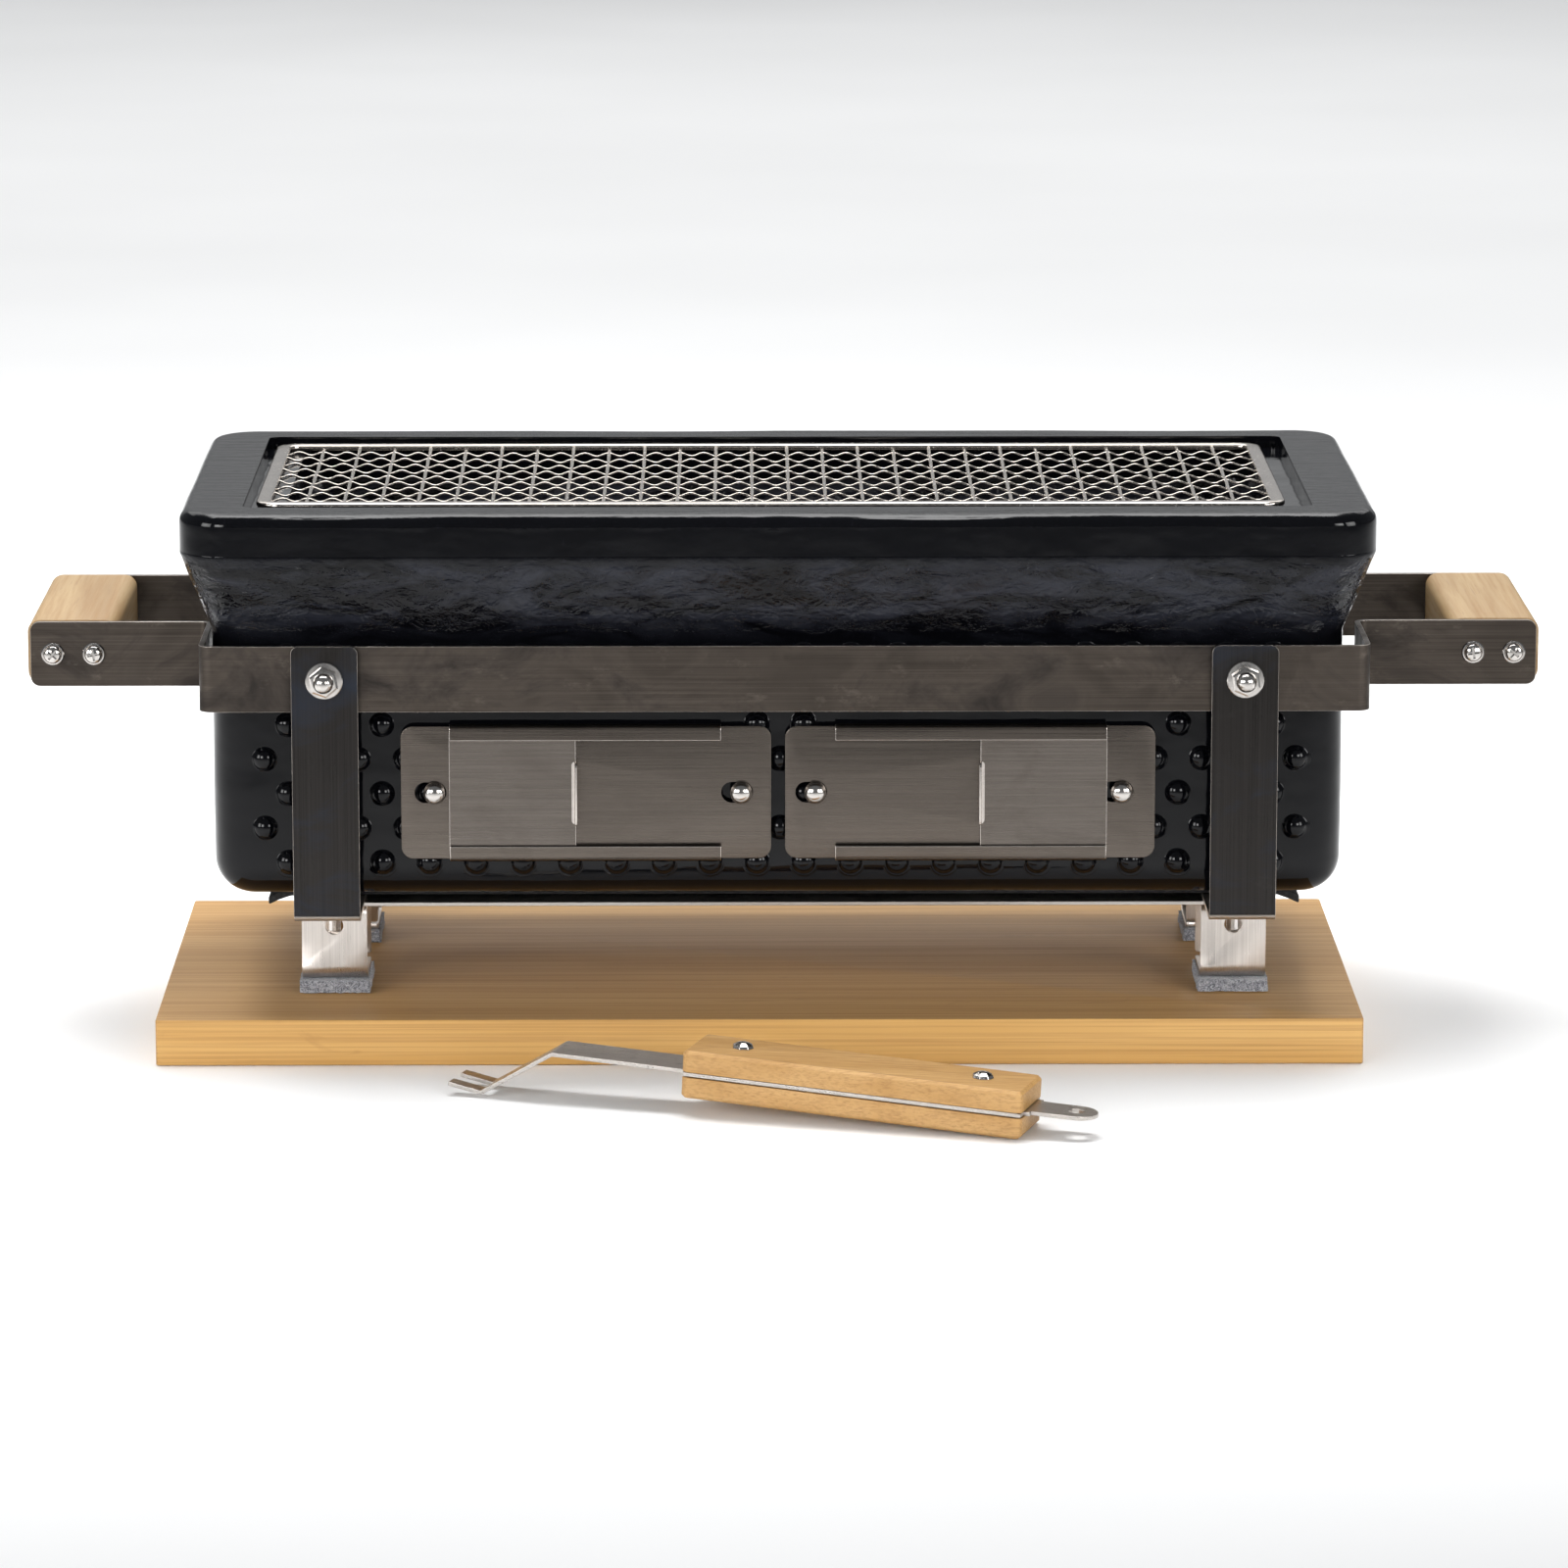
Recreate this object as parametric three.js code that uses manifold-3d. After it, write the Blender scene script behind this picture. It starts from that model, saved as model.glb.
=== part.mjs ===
// Tabletop hibachi grill: a glazed ceramic firebox in a strap-steel cradle on a bamboo board, with a woven
// cooking grate, two sliding air vents and a grate lifter. Units are millimetres, +Z is up, -Y is the front.
// The origin is the centre of the grill on the underside of the board.

import * as THREE from 'three';
import { mergeVertices } from 'three/addons/utils/BufferGeometryUtils.js';
import Module from 'manifold-3d';

const wasm = await Module();
wasm.setup();

// ---- driving dimensions ----------------------------------------------------------------------------------

const gap = 0.3; // clearance between pieces that touch on the real grill
const strapWidth = 25;
const strapThickness = 2;
const strapBend = 3; // inside bend radius of the straps

const board = { halfX: 229, halfY: 105, height: 17.6, shiftX: -9.5, corner: 2.5, edge: 1.2 };
const felt = { sizeX: 27, sizeY: 35, height: 4.7 };

const legX = 172.7; // leg and foot centres
const footY = 43.5;
const foot = { depth: 34, bottom: 22.9, top: 53.9, slitBottom: 26.2, holeZ: 44.2, holeRadius: 3.5 };

const plate = { halfX: 185, halfY: 71, bottom: 54.2, thickness: 1.5 };
const crossBottom = plate.bottom + plate.thickness + gap; // underside of the leg straps' bottom run
const mat = { halfX: 196.5, flatX: 187.5, halfY: 69, thickness: 3.4, droop: 4.2 };
const matBottom = crossBottom + strapThickness + gap;

const band = { outerY: 105.7, outerX: 220, bottom: 136.5 };
const arm = { outerY: 52.5, endX: 287.8 };
const fastenerZ = band.bottom + strapWidth / 2;
const legOuterY = band.outerY + gap + strapThickness;
const legTop = band.bottom + strapWidth + 0.5;

const grip = { width: 34, height: 25, outerX: 289, edge: 4.5 };
const gripScrewX = [279.3, 263.7];

const firebox = { centreX: -2.5, bottom: 62, top: 211.3 };
const lip = { halfX: 225.3, halfY: 105, corner: 20, bottom: 194.7, rounding: 5 };
const body = { halfX: 214, halfY: 93, corner: 14, top: 163.5, rounding: 14 };
const mouth = { halfX: 201.5, halfY: 86, corner: 4, depth: 4.8 };
const cavity = { halfX: 187, halfY: 78, corner: 8, bottom: 77 };

const vent = { centreX: 100, centreZ: 103.9, width: 38, height: 28 };
const ventPlate = { inner: 2.6, outer: 142.4, height: 51, thickness: 1, corner: 4.7, standOff: 3.2 };
const rail = { inner: 21.5, outer: 124, lipHeight: 6.6, reach: 2.9 };
const door = { width: 48.4, height: 47, thickness: 0.8, outer: 124.2, tabHeight: 26, tabReach: 4.4 };
const ventScrewX = [14, 129.7];

const grate = { centreX: -5, centreY: 8, outerX: 391, outerY: 148, bar: 4.5, height: 2.7, corner: 9 };
const mesh = { wiresAlongY: 26, wiresAlongX: 9, wire: 1.9, height: 1.6, lift: 0.35 };
const coalGrate = { sizeX: 366, sizeY: 148, corner: 8, top: 126.3, thickness: 2, slotWidth: 8, slots: 22 };

const m6 = { shank: 3, clearance: 3.4, flange: 7, acrossFlats: 10 };
const screw = { headRadius: 4.4, headHeight: 2.8, shank: 2, clearance: 2.4 };

const lifter = {
  handleLength: 130, handleWidth: 29, height: 18, blade: 1.5, bladeWidth: 20, tangWidth: 28,
  neck: 52, tail: 25, tailWidth: 16, foldRun: 27, foldDrop: 18, prong: 13, prongRise: 2, prongGap: 8,
  rivetX: 46, centreX: 27.3, centreY: -189.7, yaw: THREE.MathUtils.degToRad(-17.5),
};

const roundSides = 8; // facets of screws, nuts and round holes

// ---- materials -------------------------------------------------------------------------------------------

const finish = (color, roughness, metalness) =>
  new THREE.MeshStandardMaterial({ color, roughness, metalness });
const paint = {
  bamboo: () => finish(0xc9924f, 0.55, 0),
  gripWood: () => finish(0xd0a568, 0.6, 0),
  felt: () => finish(0x6f7276, 0.95, 0),
  strapSteel: () => finish(0x4f4a47, 0.35, 1),
  brightSteel: () => finish(0x9a938c, 0.3, 1),
  chrome: () => finish(0xc8c8cc, 0.15, 1),
  glaze: () => finish(0x0b0b0d, 0.12, 0),
  mat: () => finish(0x161616, 0.9, 0),
};

// ---- shape helpers ---------------------------------------------------------------------------------------

// Closed solid of a geometry, ready to be cut or joined.
function solidOf(geometry) {
  const bare = geometry.clone();
  bare.deleteAttribute('normal');
  bare.deleteAttribute('uv');
  const merged = mergeVertices(bare, 1e-4);
  const corners = merged.index.array;
  const kept = [];
  for (let i = 0; i < corners.length; i += 3) {
    const [a, b, c] = [corners[i], corners[i + 1], corners[i + 2]];
    if (a !== b && b !== c && c !== a) kept.push(a, b, c);
  }
  const vertProperties = new Float32Array(merged.attributes.position.array);
  return new wasm.Manifold(new wasm.Mesh({ numProp: 3, vertProperties, triVerts: new Uint32Array(kept) }));
}

function geometryOf(solid) {
  const { vertProperties, triVerts } = solid.getMesh();
  const geometry = new THREE.BufferGeometry();
  geometry.setAttribute('position', new THREE.BufferAttribute(new Float32Array(vertProperties), 3));
  geometry.setIndex(new THREE.BufferAttribute(new Uint32Array(triVerts), 1));
  geometry.computeVertexNormals();
  return geometry;
}

const cut = (base, tools) =>
  geometryOf(tools.reduce((rest, tool) => rest.subtract(solidOf(tool)), solidOf(base)));
const join = (first, others) =>
  geometryOf(others.reduce((sum, next) => sum.add(solidOf(next)), solidOf(first)));

const box = (sizeX, sizeY, sizeZ, x, y, z) => new THREE.BoxGeometry(sizeX, sizeY, sizeZ).translate(x, y, z);

// Rounded rectangle centred on the origin; 'Outline' is any THREE.Shape or THREE.Path class.
function roundedRectangle(Outline, halfX, halfY, radius) {
  const outline = new Outline();
  outline.moveTo(halfX, -halfY + radius);
  outline.absarc(halfX - radius, halfY - radius, radius, 0, Math.PI / 2);
  outline.absarc(-halfX + radius, halfY - radius, radius, Math.PI / 2, Math.PI);
  outline.absarc(-halfX + radius, -halfY + radius, radius, Math.PI, 1.5 * Math.PI);
  outline.absarc(halfX - radius, -halfY + radius, radius, 1.5 * Math.PI, 2 * Math.PI);
  outline.closePath();
  return outline;
}

const slab = (shape, depth, curveSegments = 4) =>
  new THREE.ExtrudeGeometry(shape, { depth, bevelEnabled: false, curveSegments });

// Solid through stacked rounded rectangles, each { z, halfX, halfY, corner }, from the lowest to the highest.
function loft(levels, cornerSteps = 4) {
  const positions = [];
  const quadrants = [[1, 1], [-1, 1], [-1, -1], [1, -1]];
  for (const { z, halfX, halfY, corner } of levels) {
    quadrants.forEach(([signX, signY], quadrant) => {
      for (let step = 0; step <= cornerSteps; step++) {
        const angle = (quadrant + step / cornerSteps) * Math.PI / 2;
        const x = signX * (halfX - corner) + corner * Math.cos(angle);
        const y = signY * (halfY - corner) + corner * Math.sin(angle);
        positions.push(x, y, z);
      }
    });
  }
  const ring = 4 * (cornerSteps + 1);
  const index = [];
  for (let level = 0; level + 1 < levels.length; level++) {
    for (let i = 0; i < ring; i++) {
      const [a, b] = [level * ring + i, level * ring + (i + 1) % ring];
      index.push(a, b, b + ring, a, b + ring, a + ring);
    }
  }
  const top = (levels.length - 1) * ring;
  for (let i = 1; i + 1 < ring; i++) {
    index.push(0, i + 1, i);
    index.push(top, top + i, top + i + 1);
  }
  const geometry = new THREE.BufferGeometry();
  geometry.setAttribute('position', new THREE.BufferAttribute(new Float32Array(positions), 3));
  geometry.setIndex(index);
  return geometry;
}

const shrunk = (level, inset, z) => ({
  z, halfX: level.halfX - inset, halfY: level.halfY - inset, corner: Math.max(level.corner - inset, 1),
});

// Outline of a strip that follows a centre line through the given corners, with rounded bends.
function stripShape(corners, thickness, insideRadius, bendSteps = 3) {
  const radius = insideRadius + thickness / 2;
  const line = [new THREE.Vector2(...corners[0])];
  const normals = [];
  const points = corners.map((corner) => new THREE.Vector2(...corner));
  for (let i = 1; i + 1 < points.length; i++) {
    const into = points[i].clone().sub(points[i - 1]).normalize();
    const away = points[i + 1].clone().sub(points[i]).normalize();
    const turn = Math.atan2(into.x * away.y - into.y * away.x, into.dot(away));
    const setBack = radius * Math.tan(Math.abs(turn) / 2);
    const start = points[i].clone().addScaledVector(into, -setBack);
    const side = new THREE.Vector2(-into.y, into.x).multiplyScalar(Math.sign(turn));
    const centre = start.clone().addScaledVector(side, radius);
    for (let step = 0; step <= bendSteps; step++) {
      const spoke = start.clone().sub(centre).rotateAround(new THREE.Vector2(), turn * step / bendSteps);
      line.push(centre.clone().add(spoke));
      normals[line.length - 1] = spoke.normalize().multiplyScalar(-Math.sign(turn));
    }
  }
  line.push(points[points.length - 1]);
  const endNormal = (from, to) => {
    const along = to.clone().sub(from).normalize();
    return new THREE.Vector2(-along.y, along.x);
  };
  normals[0] = endNormal(line[0], line[1]);
  normals[line.length - 1] = endNormal(line[line.length - 2], line[line.length - 1]);
  const left = line.map((point, i) => point.clone().addScaledVector(normals[i], thickness / 2));
  const right = line.map((point, i) => point.clone().addScaledVector(normals[i], -thickness / 2));
  return new THREE.Shape([...right, ...left.reverse()]);
}

// Strip bent in the XY plane and as wide along Z, its lower edge at 'bottom'.
const stripAcrossZ = (corners, thickness, insideRadius, width, bottom) =>
  slab(stripShape(corners, thickness, insideRadius), width).translate(0, 0, bottom);

// Strip bent in the YZ plane and as wide along X, centred on x.
const stripAcrossX = (corners, thickness, insideRadius, width, x) =>
  slab(stripShape(corners, thickness, insideRadius), width)
    .rotateY(Math.PI / 2)
    .rotateX(Math.PI / 2)
    .translate(x - width / 2, 0, 0);

// Round solid about Z from a profile of [radius, z] pairs that starts and ends on the axis.
function turned(profile, facets = roundSides) {
  const outline = profile.map(([radius, z]) => new THREE.Vector2(radius, z));
  return new THREE.LatheGeometry(outline, facets).rotateX(Math.PI / 2);
}

// Round pin about Z between two heights.
const pin = (radius, low, high, facets = roundSides) =>
  turned([[0, low], [radius, low], [radius, high], [0, high]], facets);

// The same pin laid along Y, through (x, z).
const pinAlongY = (radius, lowY, highY, x, z) =>
  pin(radius, -highY, -lowY).rotateX(Math.PI / 2).translate(x, 0, z);

const hexPrism = (acrossFlats, low, high) => pin(acrossFlats / Math.sqrt(3), low, high, 6);

// Half-round head on a shank: the seat is at z = 0 and the shank points down.
const domedScrew = (headRadius, headHeight, shankRadius, shankLength) => turned([
  [0, -shankLength], [shankRadius, -shankLength], [shankRadius, 0], [headRadius, 0],
  [headRadius, headHeight * 0.35], [headRadius * 0.8, headHeight * 0.8], [headRadius * 0.4, headHeight],
  [0, headHeight],
]);

// ---- assembly --------------------------------------------------------------------------------------------

const group = new THREE.Group();

function place(name, geometry, material, parent = group) {
  const piece = new THREE.Mesh(geometry, material);
  piece.name = name;
  parent.add(piece);
  return piece;
}

const sides = [
  { name: 'left', sign: -1 },
  { name: 'right', sign: 1 },
];
const faces = [
  { name: 'front', sign: -1 },
  { name: 'rear', sign: 1 },
];

// ---- board and felt pads ---------------------------------------------------------------------------------

function makeBoard() {
  const levels = [
    shrunk(board, board.edge, 0),
    { ...board, z: board.edge },
    { ...board, z: board.height - board.edge },
    shrunk(board, board.edge, board.height),
  ];
  place('bamboo_board', loft(levels, 3).translate(board.shiftX, 0, 0), paint.bamboo());
}

function makeFeltPad(side, face) {
  const geometry = slab(roundedRectangle(THREE.Shape, felt.sizeX / 2, felt.sizeY / 2, 2), felt.height, 2);
  geometry.translate(side.sign * legX, face.sign * (footY + 0.5), board.height + gap);
  place(`${face.name}_${side.name}_felt_pad`, geometry, paint.felt());
}

// ---- feet ------------------------------------------------------------------------------------------------

function makeFoot(side, face) {
  const inner = footY - foot.depth / 2 + strapThickness / 2;
  const outer = footY + foot.depth / 2 - strapThickness / 2;
  const top = foot.top - strapThickness / 2;
  const bottom = foot.bottom + strapThickness / 2;
  const route = [[inner, foot.slitBottom], [inner, top], [outer, top], [outer, bottom], [inner + 1, bottom]];
  const corners = route.map(([y, z]) => [face.sign * y, z]);
  const x = side.sign * legX;
  const loop = stripAcrossX(corners, strapThickness, strapBend, strapWidth, x);
  const boltHole = pin(m6.clearance, top - 2, top + 2).translate(x, face.sign * footY, 0);
  const wallY = face.sign * outer;
  const wallHole = pinAlongY(foot.holeRadius, wallY - 2, wallY + 2, x, foot.holeZ);
  place(`${face.name}_${side.name}_foot`, cut(loop, [boltHole, wallHole]), paint.brightSteel());
}

// Flat-head bolt from above, through leg strap, base plate and foot, and its nut underneath.
function makeFootFasteners(side, face) {
  const seat = crossBottom + strapThickness + gap;
  const boltEnd = 38.6;
  const profile = [
    [0, boltEnd - seat], [m6.shank, boltEnd - seat], [m6.shank, 0],
    [5.4, 0], [5.4, 1.8], [4.4, 2.4], [0, 2.4],
  ];
  const [x, y] = [side.sign * legX, face.sign * footY];
  place(`${face.name}_${side.name}_foot_bolt`, turned(profile, 10).translate(x, y, seat), paint.chrome());
  const nutTop = foot.top - strapThickness - gap;
  const bore = pin(m6.clearance, nutTop - 6, nutTop + 1);
  const nut = cut(hexPrism(m6.acrossFlats, nutTop - 4.8, nutTop), [bore]);
  place(`${face.name}_${side.name}_foot_nut`, nut.translate(x, y, 0), paint.chrome());
}

// ---- base plate and mat ----------------------------------------------------------------------------------

const footBoltHoles = (radius, low, high) => sides.flatMap((side) => faces.map((face) =>
  pin(radius, low, high).translate(side.sign * legX, face.sign * footY, 0)));

function makeBasePlate() {
  const shape = roundedRectangle(THREE.Shape, plate.halfX, plate.halfY, 3);
  const sheet = slab(shape, plate.thickness, 2).translate(0, 0, plate.bottom);
  const holes = footBoltHoles(m6.clearance, plate.bottom - 1, plate.bottom + 3);
  place('base_plate', cut(sheet, holes), paint.brightSteel());
}

// Soft mat between cradle and firebox; its two ends hang down past the legs.
function makeMat() {
  const middle = matBottom + mat.thickness / 2;
  const route = [
    [-mat.halfX, middle - mat.droop], [-mat.flatX, middle],
    [mat.flatX, middle], [mat.halfX, middle - mat.droop],
  ];
  const strip = slab(stripShape(route, mat.thickness, 3, 2), 2 * mat.halfY)
    .rotateX(Math.PI / 2)
    .translate(0, mat.halfY, 0);
  const holes = footBoltHoles(6.2, matBottom - 1, matBottom + mat.thickness + 1);
  place('cushion_mat', cut(strip, holes), paint.mat());
}

// ---- cradle straps ---------------------------------------------------------------------------------------

// Band strap of one face: along the firebox, back round its corners, and out as two handle arms.
function makeBandStrap(face) {
  const half = strapThickness / 2;
  const [bandY, armY] = [face.sign * (band.outerY - half), face.sign * (arm.outerY - half)];
  const jogX = band.outerX - half;
  const route = [
    [-arm.endX, armY], [-jogX, armY], [-jogX, bandY],
    [jogX, bandY], [jogX, armY], [arm.endX, armY],
  ];
  const strap = stripAcrossZ(route, strapThickness, strapBend, strapWidth, band.bottom);
  const holes = sides.flatMap((side) => [
    pinAlongY(m6.clearance, bandY - 2, bandY + 2, side.sign * legX, fastenerZ),
    ...gripScrewX.map((x) => pinAlongY(screw.clearance, armY - 2, armY + 2, side.sign * x, fastenerZ)),
  ]);
  place(`${face.name}_band_strap`, cut(strap, holes), paint.strapSteel());
}

// Leg strap of one side: down the front, under the firebox and up the back.
function makeLegStrap(side) {
  const y = legOuterY - strapThickness / 2;
  const z = crossBottom + strapThickness / 2;
  const x = side.sign * legX;
  const route = [[-y, legTop], [-y, z], [y, z], [y, legTop]];
  const strap = stripAcrossX(route, strapThickness, strapBend, strapWidth, x);
  const holes = faces.flatMap((face) => [
    pinAlongY(m6.clearance, face.sign * y - 2, face.sign * y + 2, x, fastenerZ),
    pin(m6.clearance, z - 2, z + 2).translate(x, face.sign * footY, 0),
  ]);
  place(`${side.name}_leg_strap`, cut(strap, holes), paint.strapSteel());
}

// Bolt from inside the band and flanged cap nut outside the leg.
function makeLegFasteners(side, face) {
  const outward = -face.sign * Math.PI / 2;
  const [x, z] = [side.sign * legX, fastenerZ];
  const innerY = band.outerY - strapThickness - gap;
  const profile = [
    [0, -2.4], [4.2, -2.4], [5.2, -1.6], [5.2, 0], [m6.shank, 0], [m6.shank, 9.5], [0, 9.5],
  ];
  const bolt = place(`${face.name}_${side.name}_leg_bolt`, turned(profile, 10), paint.chrome());
  bolt.position.set(x, face.sign * innerY, z);
  bolt.rotation.x = outward;

  const flange = turned([[0, 0], [m6.flange, 0], [m6.flange, 0.7], [5.4, 1.6], [0, 1.6]], 12);
  const dome = turned([[0, 5], [4.6, 5], [4.3, 7], [3, 8.6], [1.4, 9.3], [0, 9.4]]);
  const outside = join(flange, [hexPrism(m6.acrossFlats, 1, 5.6), dome]);
  const bored = cut(outside, [pin(m6.clearance, -1, 6.6)]);
  const nut = place(`${face.name}_${side.name}_leg_cap_nut`, bored, paint.chrome());
  nut.position.set(x, face.sign * (legOuterY + gap), z);
  nut.rotation.x = outward;
}

// ---- handle grips ----------------------------------------------------------------------------------------

function makeGrip(side) {
  const length = 2 * (arm.outerY - strapThickness - gap);
  const x = side.sign * (grip.outerX - grip.width / 2);
  const bar = slab(roundedRectangle(THREE.Shape, grip.width / 2, grip.height / 2, grip.edge), length, 3)
    .rotateX(Math.PI / 2)
    .translate(x, length / 2, fastenerZ + 0.5);
  const pilots = faces.flatMap((face) => gripScrewX.map((screwX) => {
    const middle = face.sign * (length / 2 - 6.5);
    return pinAlongY(screw.clearance, middle - 8.5, middle + 8.5, side.sign * screwX, fastenerZ);
  }));
  place(`${side.name}_grip`, cut(bar, pilots), paint.gripWood());
}

function makeGripScrews(side, face) {
  gripScrewX.forEach((screwX, i) => {
    const geometry = domedScrew(screw.headRadius, screw.headHeight, screw.shank, 15);
    const piece = place(`${face.name}_${side.name}_grip_screw_${i + 1}`, geometry, paint.chrome());
    piece.position.set(side.sign * screwX, face.sign * (arm.outerY + gap), fastenerZ);
    piece.rotation.x = -face.sign * Math.PI / 2;
  });
}

// ---- firebox ---------------------------------------------------------------------------------------------

function makeFirebox() {
  const roundingSteps = 3;
  const outer = [];
  for (let step = 0; step <= roundingSteps; step++) {
    const angle = step / roundingSteps * Math.PI / 2;
    const inset = body.rounding * (1 - Math.sin(angle));
    outer.push(shrunk(body, inset, firebox.bottom + body.rounding * (1 - Math.cos(angle))));
  }
  outer.push({ ...body, z: body.top });
  outer.push({ ...lip, z: lip.bottom });
  for (let step = 0; step <= roundingSteps; step++) {
    const angle = step / roundingSteps * Math.PI / 2;
    const inset = lip.rounding * (1 - Math.cos(angle));
    outer.push(shrunk(lip, inset, firebox.top - lip.rounding * (1 - Math.sin(angle))));
  }
  const shelf = firebox.top - mouth.depth;
  const hollows = [
    loft([{ ...mouth, z: shelf }, { ...mouth, z: firebox.top + 1 }], 2),
    loft([{ ...cavity, z: cavity.bottom }, { ...cavity, z: shelf + 1 }]),
  ];
  const wallDepth = body.halfY - cavity.halfY + 4;
  const wallMiddle = -(body.halfY + cavity.halfY) / 2;
  for (const side of sides) {
    hollows.push(box(vent.width, wallDepth, vent.height, side.sign * vent.centreX, wallMiddle, vent.centreZ));
    for (const x of ventScrewX) {
      hollows.push(pinAlongY(2.6, -body.halfY - 2, -body.halfY + 10, side.sign * x, vent.centreZ));
    }
  }
  place('firebox', cut(loft(outer), hollows).translate(firebox.centreX, 0, 0), paint.glaze());
}

// ---- air vents -------------------------------------------------------------------------------------------

const plateBackY = -(body.halfY + ventPlate.standOff);
const plateFrontY = plateBackY - ventPlate.thickness;

// Steel plate over one vent hole, with a window, two screw slots and folded rails for the door.
function makeVentPlate(side) {
  const width = ventPlate.outer - ventPlate.inner;
  const centre = side.sign * (ventPlate.inner + width / 2);
  const shape = roundedRectangle(THREE.Shape, width / 2, ventPlate.height / 2, ventPlate.corner);
  const window = roundedRectangle(THREE.Path, vent.width / 2 - 1, vent.height / 2 - 1, 2);
  const hole = (path, steps, x) =>
    new THREE.Path(path.getPoints(steps).map((point) => new THREE.Vector2(point.x + x - centre, point.y)));
  shape.holes = [
    hole(window, 2, side.sign * vent.centreX),
    ...ventScrewX.map((x) => hole(roundedRectangle(THREE.Path, 6, 4, 3.9), 3, side.sign * x - 1.5)),
  ];
  const sheet = slab(shape, ventPlate.thickness, 3)
    .rotateX(Math.PI / 2)
    .translate(centre, plateBackY, vent.centreZ);
  const railWidth = rail.outer - rail.inner;
  const railX = side.sign * (rail.inner + railWidth / 2);
  const rails = [-1, 1].map((up) => {
    const edge = vent.centreZ + up * (ventPlate.height / 2 - 0.5);
    const tip = vent.centreZ + up * (ventPlate.height / 2 - rail.lipHeight);
    const front = plateBackY - rail.reach;
    return stripAcrossX([[plateBackY - 0.2, edge], [front, edge], [front, tip]], 1, 0.3, railWidth, railX);
  });
  const plateGeometry = join(sheet, rails).translate(firebox.centreX, 0, 0);
  place(`${side.name}_vent_plate`, plateGeometry, paint.brightSteel());
}

// Sliding shutter with a bent finger tab on the edge nearer the middle.
function makeVentDoor(side) {
  const backY = plateFrontY - gap;
  const middle = side.sign * (door.outer - door.width / 2);
  const sheetY = backY - door.thickness / 2;
  const sheet = box(door.width, door.thickness, door.height, middle, sheetY, vent.centreZ);
  const tabX = side.sign * (door.outer - door.width + door.thickness / 2);
  const tabLength = door.thickness + door.tabReach;
  const tab = box(door.thickness, tabLength, door.tabHeight, tabX, backY - tabLength / 2, vent.centreZ);
  place(`${side.name}_vent_door`, join(sheet, [tab]).translate(firebox.centreX, 0, 0), paint.brightSteel());
}

function makeVentScrews(side) {
  ventScrewX.forEach((x, i) => {
    const geometry = domedScrew(screw.headRadius, 4, screw.shank, 11);
    const piece = place(`${side.name}_vent_cap_screw_${i + 1}`, geometry, paint.chrome());
    piece.position.set(firebox.centreX + side.sign * x, plateFrontY - gap, vent.centreZ);
    piece.rotation.x = Math.PI / 2;
  });
}

// ---- grates ----------------------------------------------------------------------------------------------

const grateBottom = firebox.top - mouth.depth + gap;

// Flattened-bar frame of the cooking grate.
function makeGrateFrame() {
  const [halfX, halfY] = [grate.outerX / 2, grate.outerY / 2];
  const outer = roundedRectangle(THREE.Shape, halfX, halfY, grate.corner);
  const inner = roundedRectangle(THREE.Shape, halfX - grate.bar, halfY - grate.bar, grate.corner - grate.bar);
  const frame = cut(slab(outer, grate.height, 3), [slab(inner, 20, 3).translate(0, 0, -10)]);
  place('grate_frame', frame.translate(grate.centreX, grate.centreY, grateBottom), paint.chrome());
}

// Wire mesh as a flat grid: a sheet that just fits the frame, with one window for each cell.
function makeGrateMesh() {
  const inset = grate.bar + gap;
  const sheet = {
    halfX: grate.outerX / 2 - inset,
    halfY: grate.outerY / 2 - inset,
    corner: grate.corner - inset,
  };
  const [columns, rows] = [mesh.wiresAlongY + 1, mesh.wiresAlongX + 1];
  const pitchX = (2 * sheet.halfX - mesh.wire) / columns;
  const pitchY = (2 * sheet.halfY - mesh.wire) / rows;
  const windows = [];
  for (let column = 0; column < columns; column++) {
    for (let row = 0; row < rows; row++) {
      const [x, y] = [(column + 0.5 - columns / 2) * pitchX, (row + 0.5 - rows / 2) * pitchY];
      windows.push(box(pitchX - mesh.wire, pitchY - mesh.wire, 10, x, y, 0));
    }
  }
  const grid = cut(loft([{ ...sheet, z: 0 }, { ...sheet, z: mesh.height }], 2), windows);
  place('grate_mesh', grid.translate(grate.centreX, grate.centreY, grateBottom + mesh.lift), paint.chrome());
}

// Slotted steel plate that carries the charcoal above the air vents, standing on its two folded ends.
function makeCharcoalGrate() {
  const [halfX, halfY] = [coalGrate.sizeX / 2, coalGrate.sizeY / 2];
  const outline = roundedRectangle(THREE.Shape, halfX, halfY, coalGrate.corner);
  const pitch = (coalGrate.sizeX - 18) / coalGrate.slots;
  const slots = [];
  for (let i = 0; i < coalGrate.slots; i++) {
    const x = (i - (coalGrate.slots - 1) / 2) * pitch;
    slots.push(box(coalGrate.slotWidth, coalGrate.sizeY - 24, 10, x, 0, 0));
  }
  const sheet = cut(slab(outline, coalGrate.thickness, 3), slots);
  sheet.translate(0, 0, coalGrate.top - coalGrate.thickness);
  const foldBottom = cavity.bottom + gap;
  const foldHeight = coalGrate.top - foldBottom;
  const folds = sides.map((side) => {
    const x = side.sign * (halfX - coalGrate.thickness / 2);
    const length = 2 * (halfY - coalGrate.corner);
    return box(coalGrate.thickness, length, foldHeight, x, 0, foldBottom + foldHeight / 2);
  });
  place('charcoal_grate', join(sheet, folds).translate(firebox.centreX, 0, 0), paint.strapSteel());
}

// ---- grate lifter ----------------------------------------------------------------------------------------

const sandwich = (lifter.height - lifter.blade) / 2 - gap; // thickness of one handle scale
const foldX = lifter.handleLength / 2 + lifter.neck; // distance from the handle's middle to the fold

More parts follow.
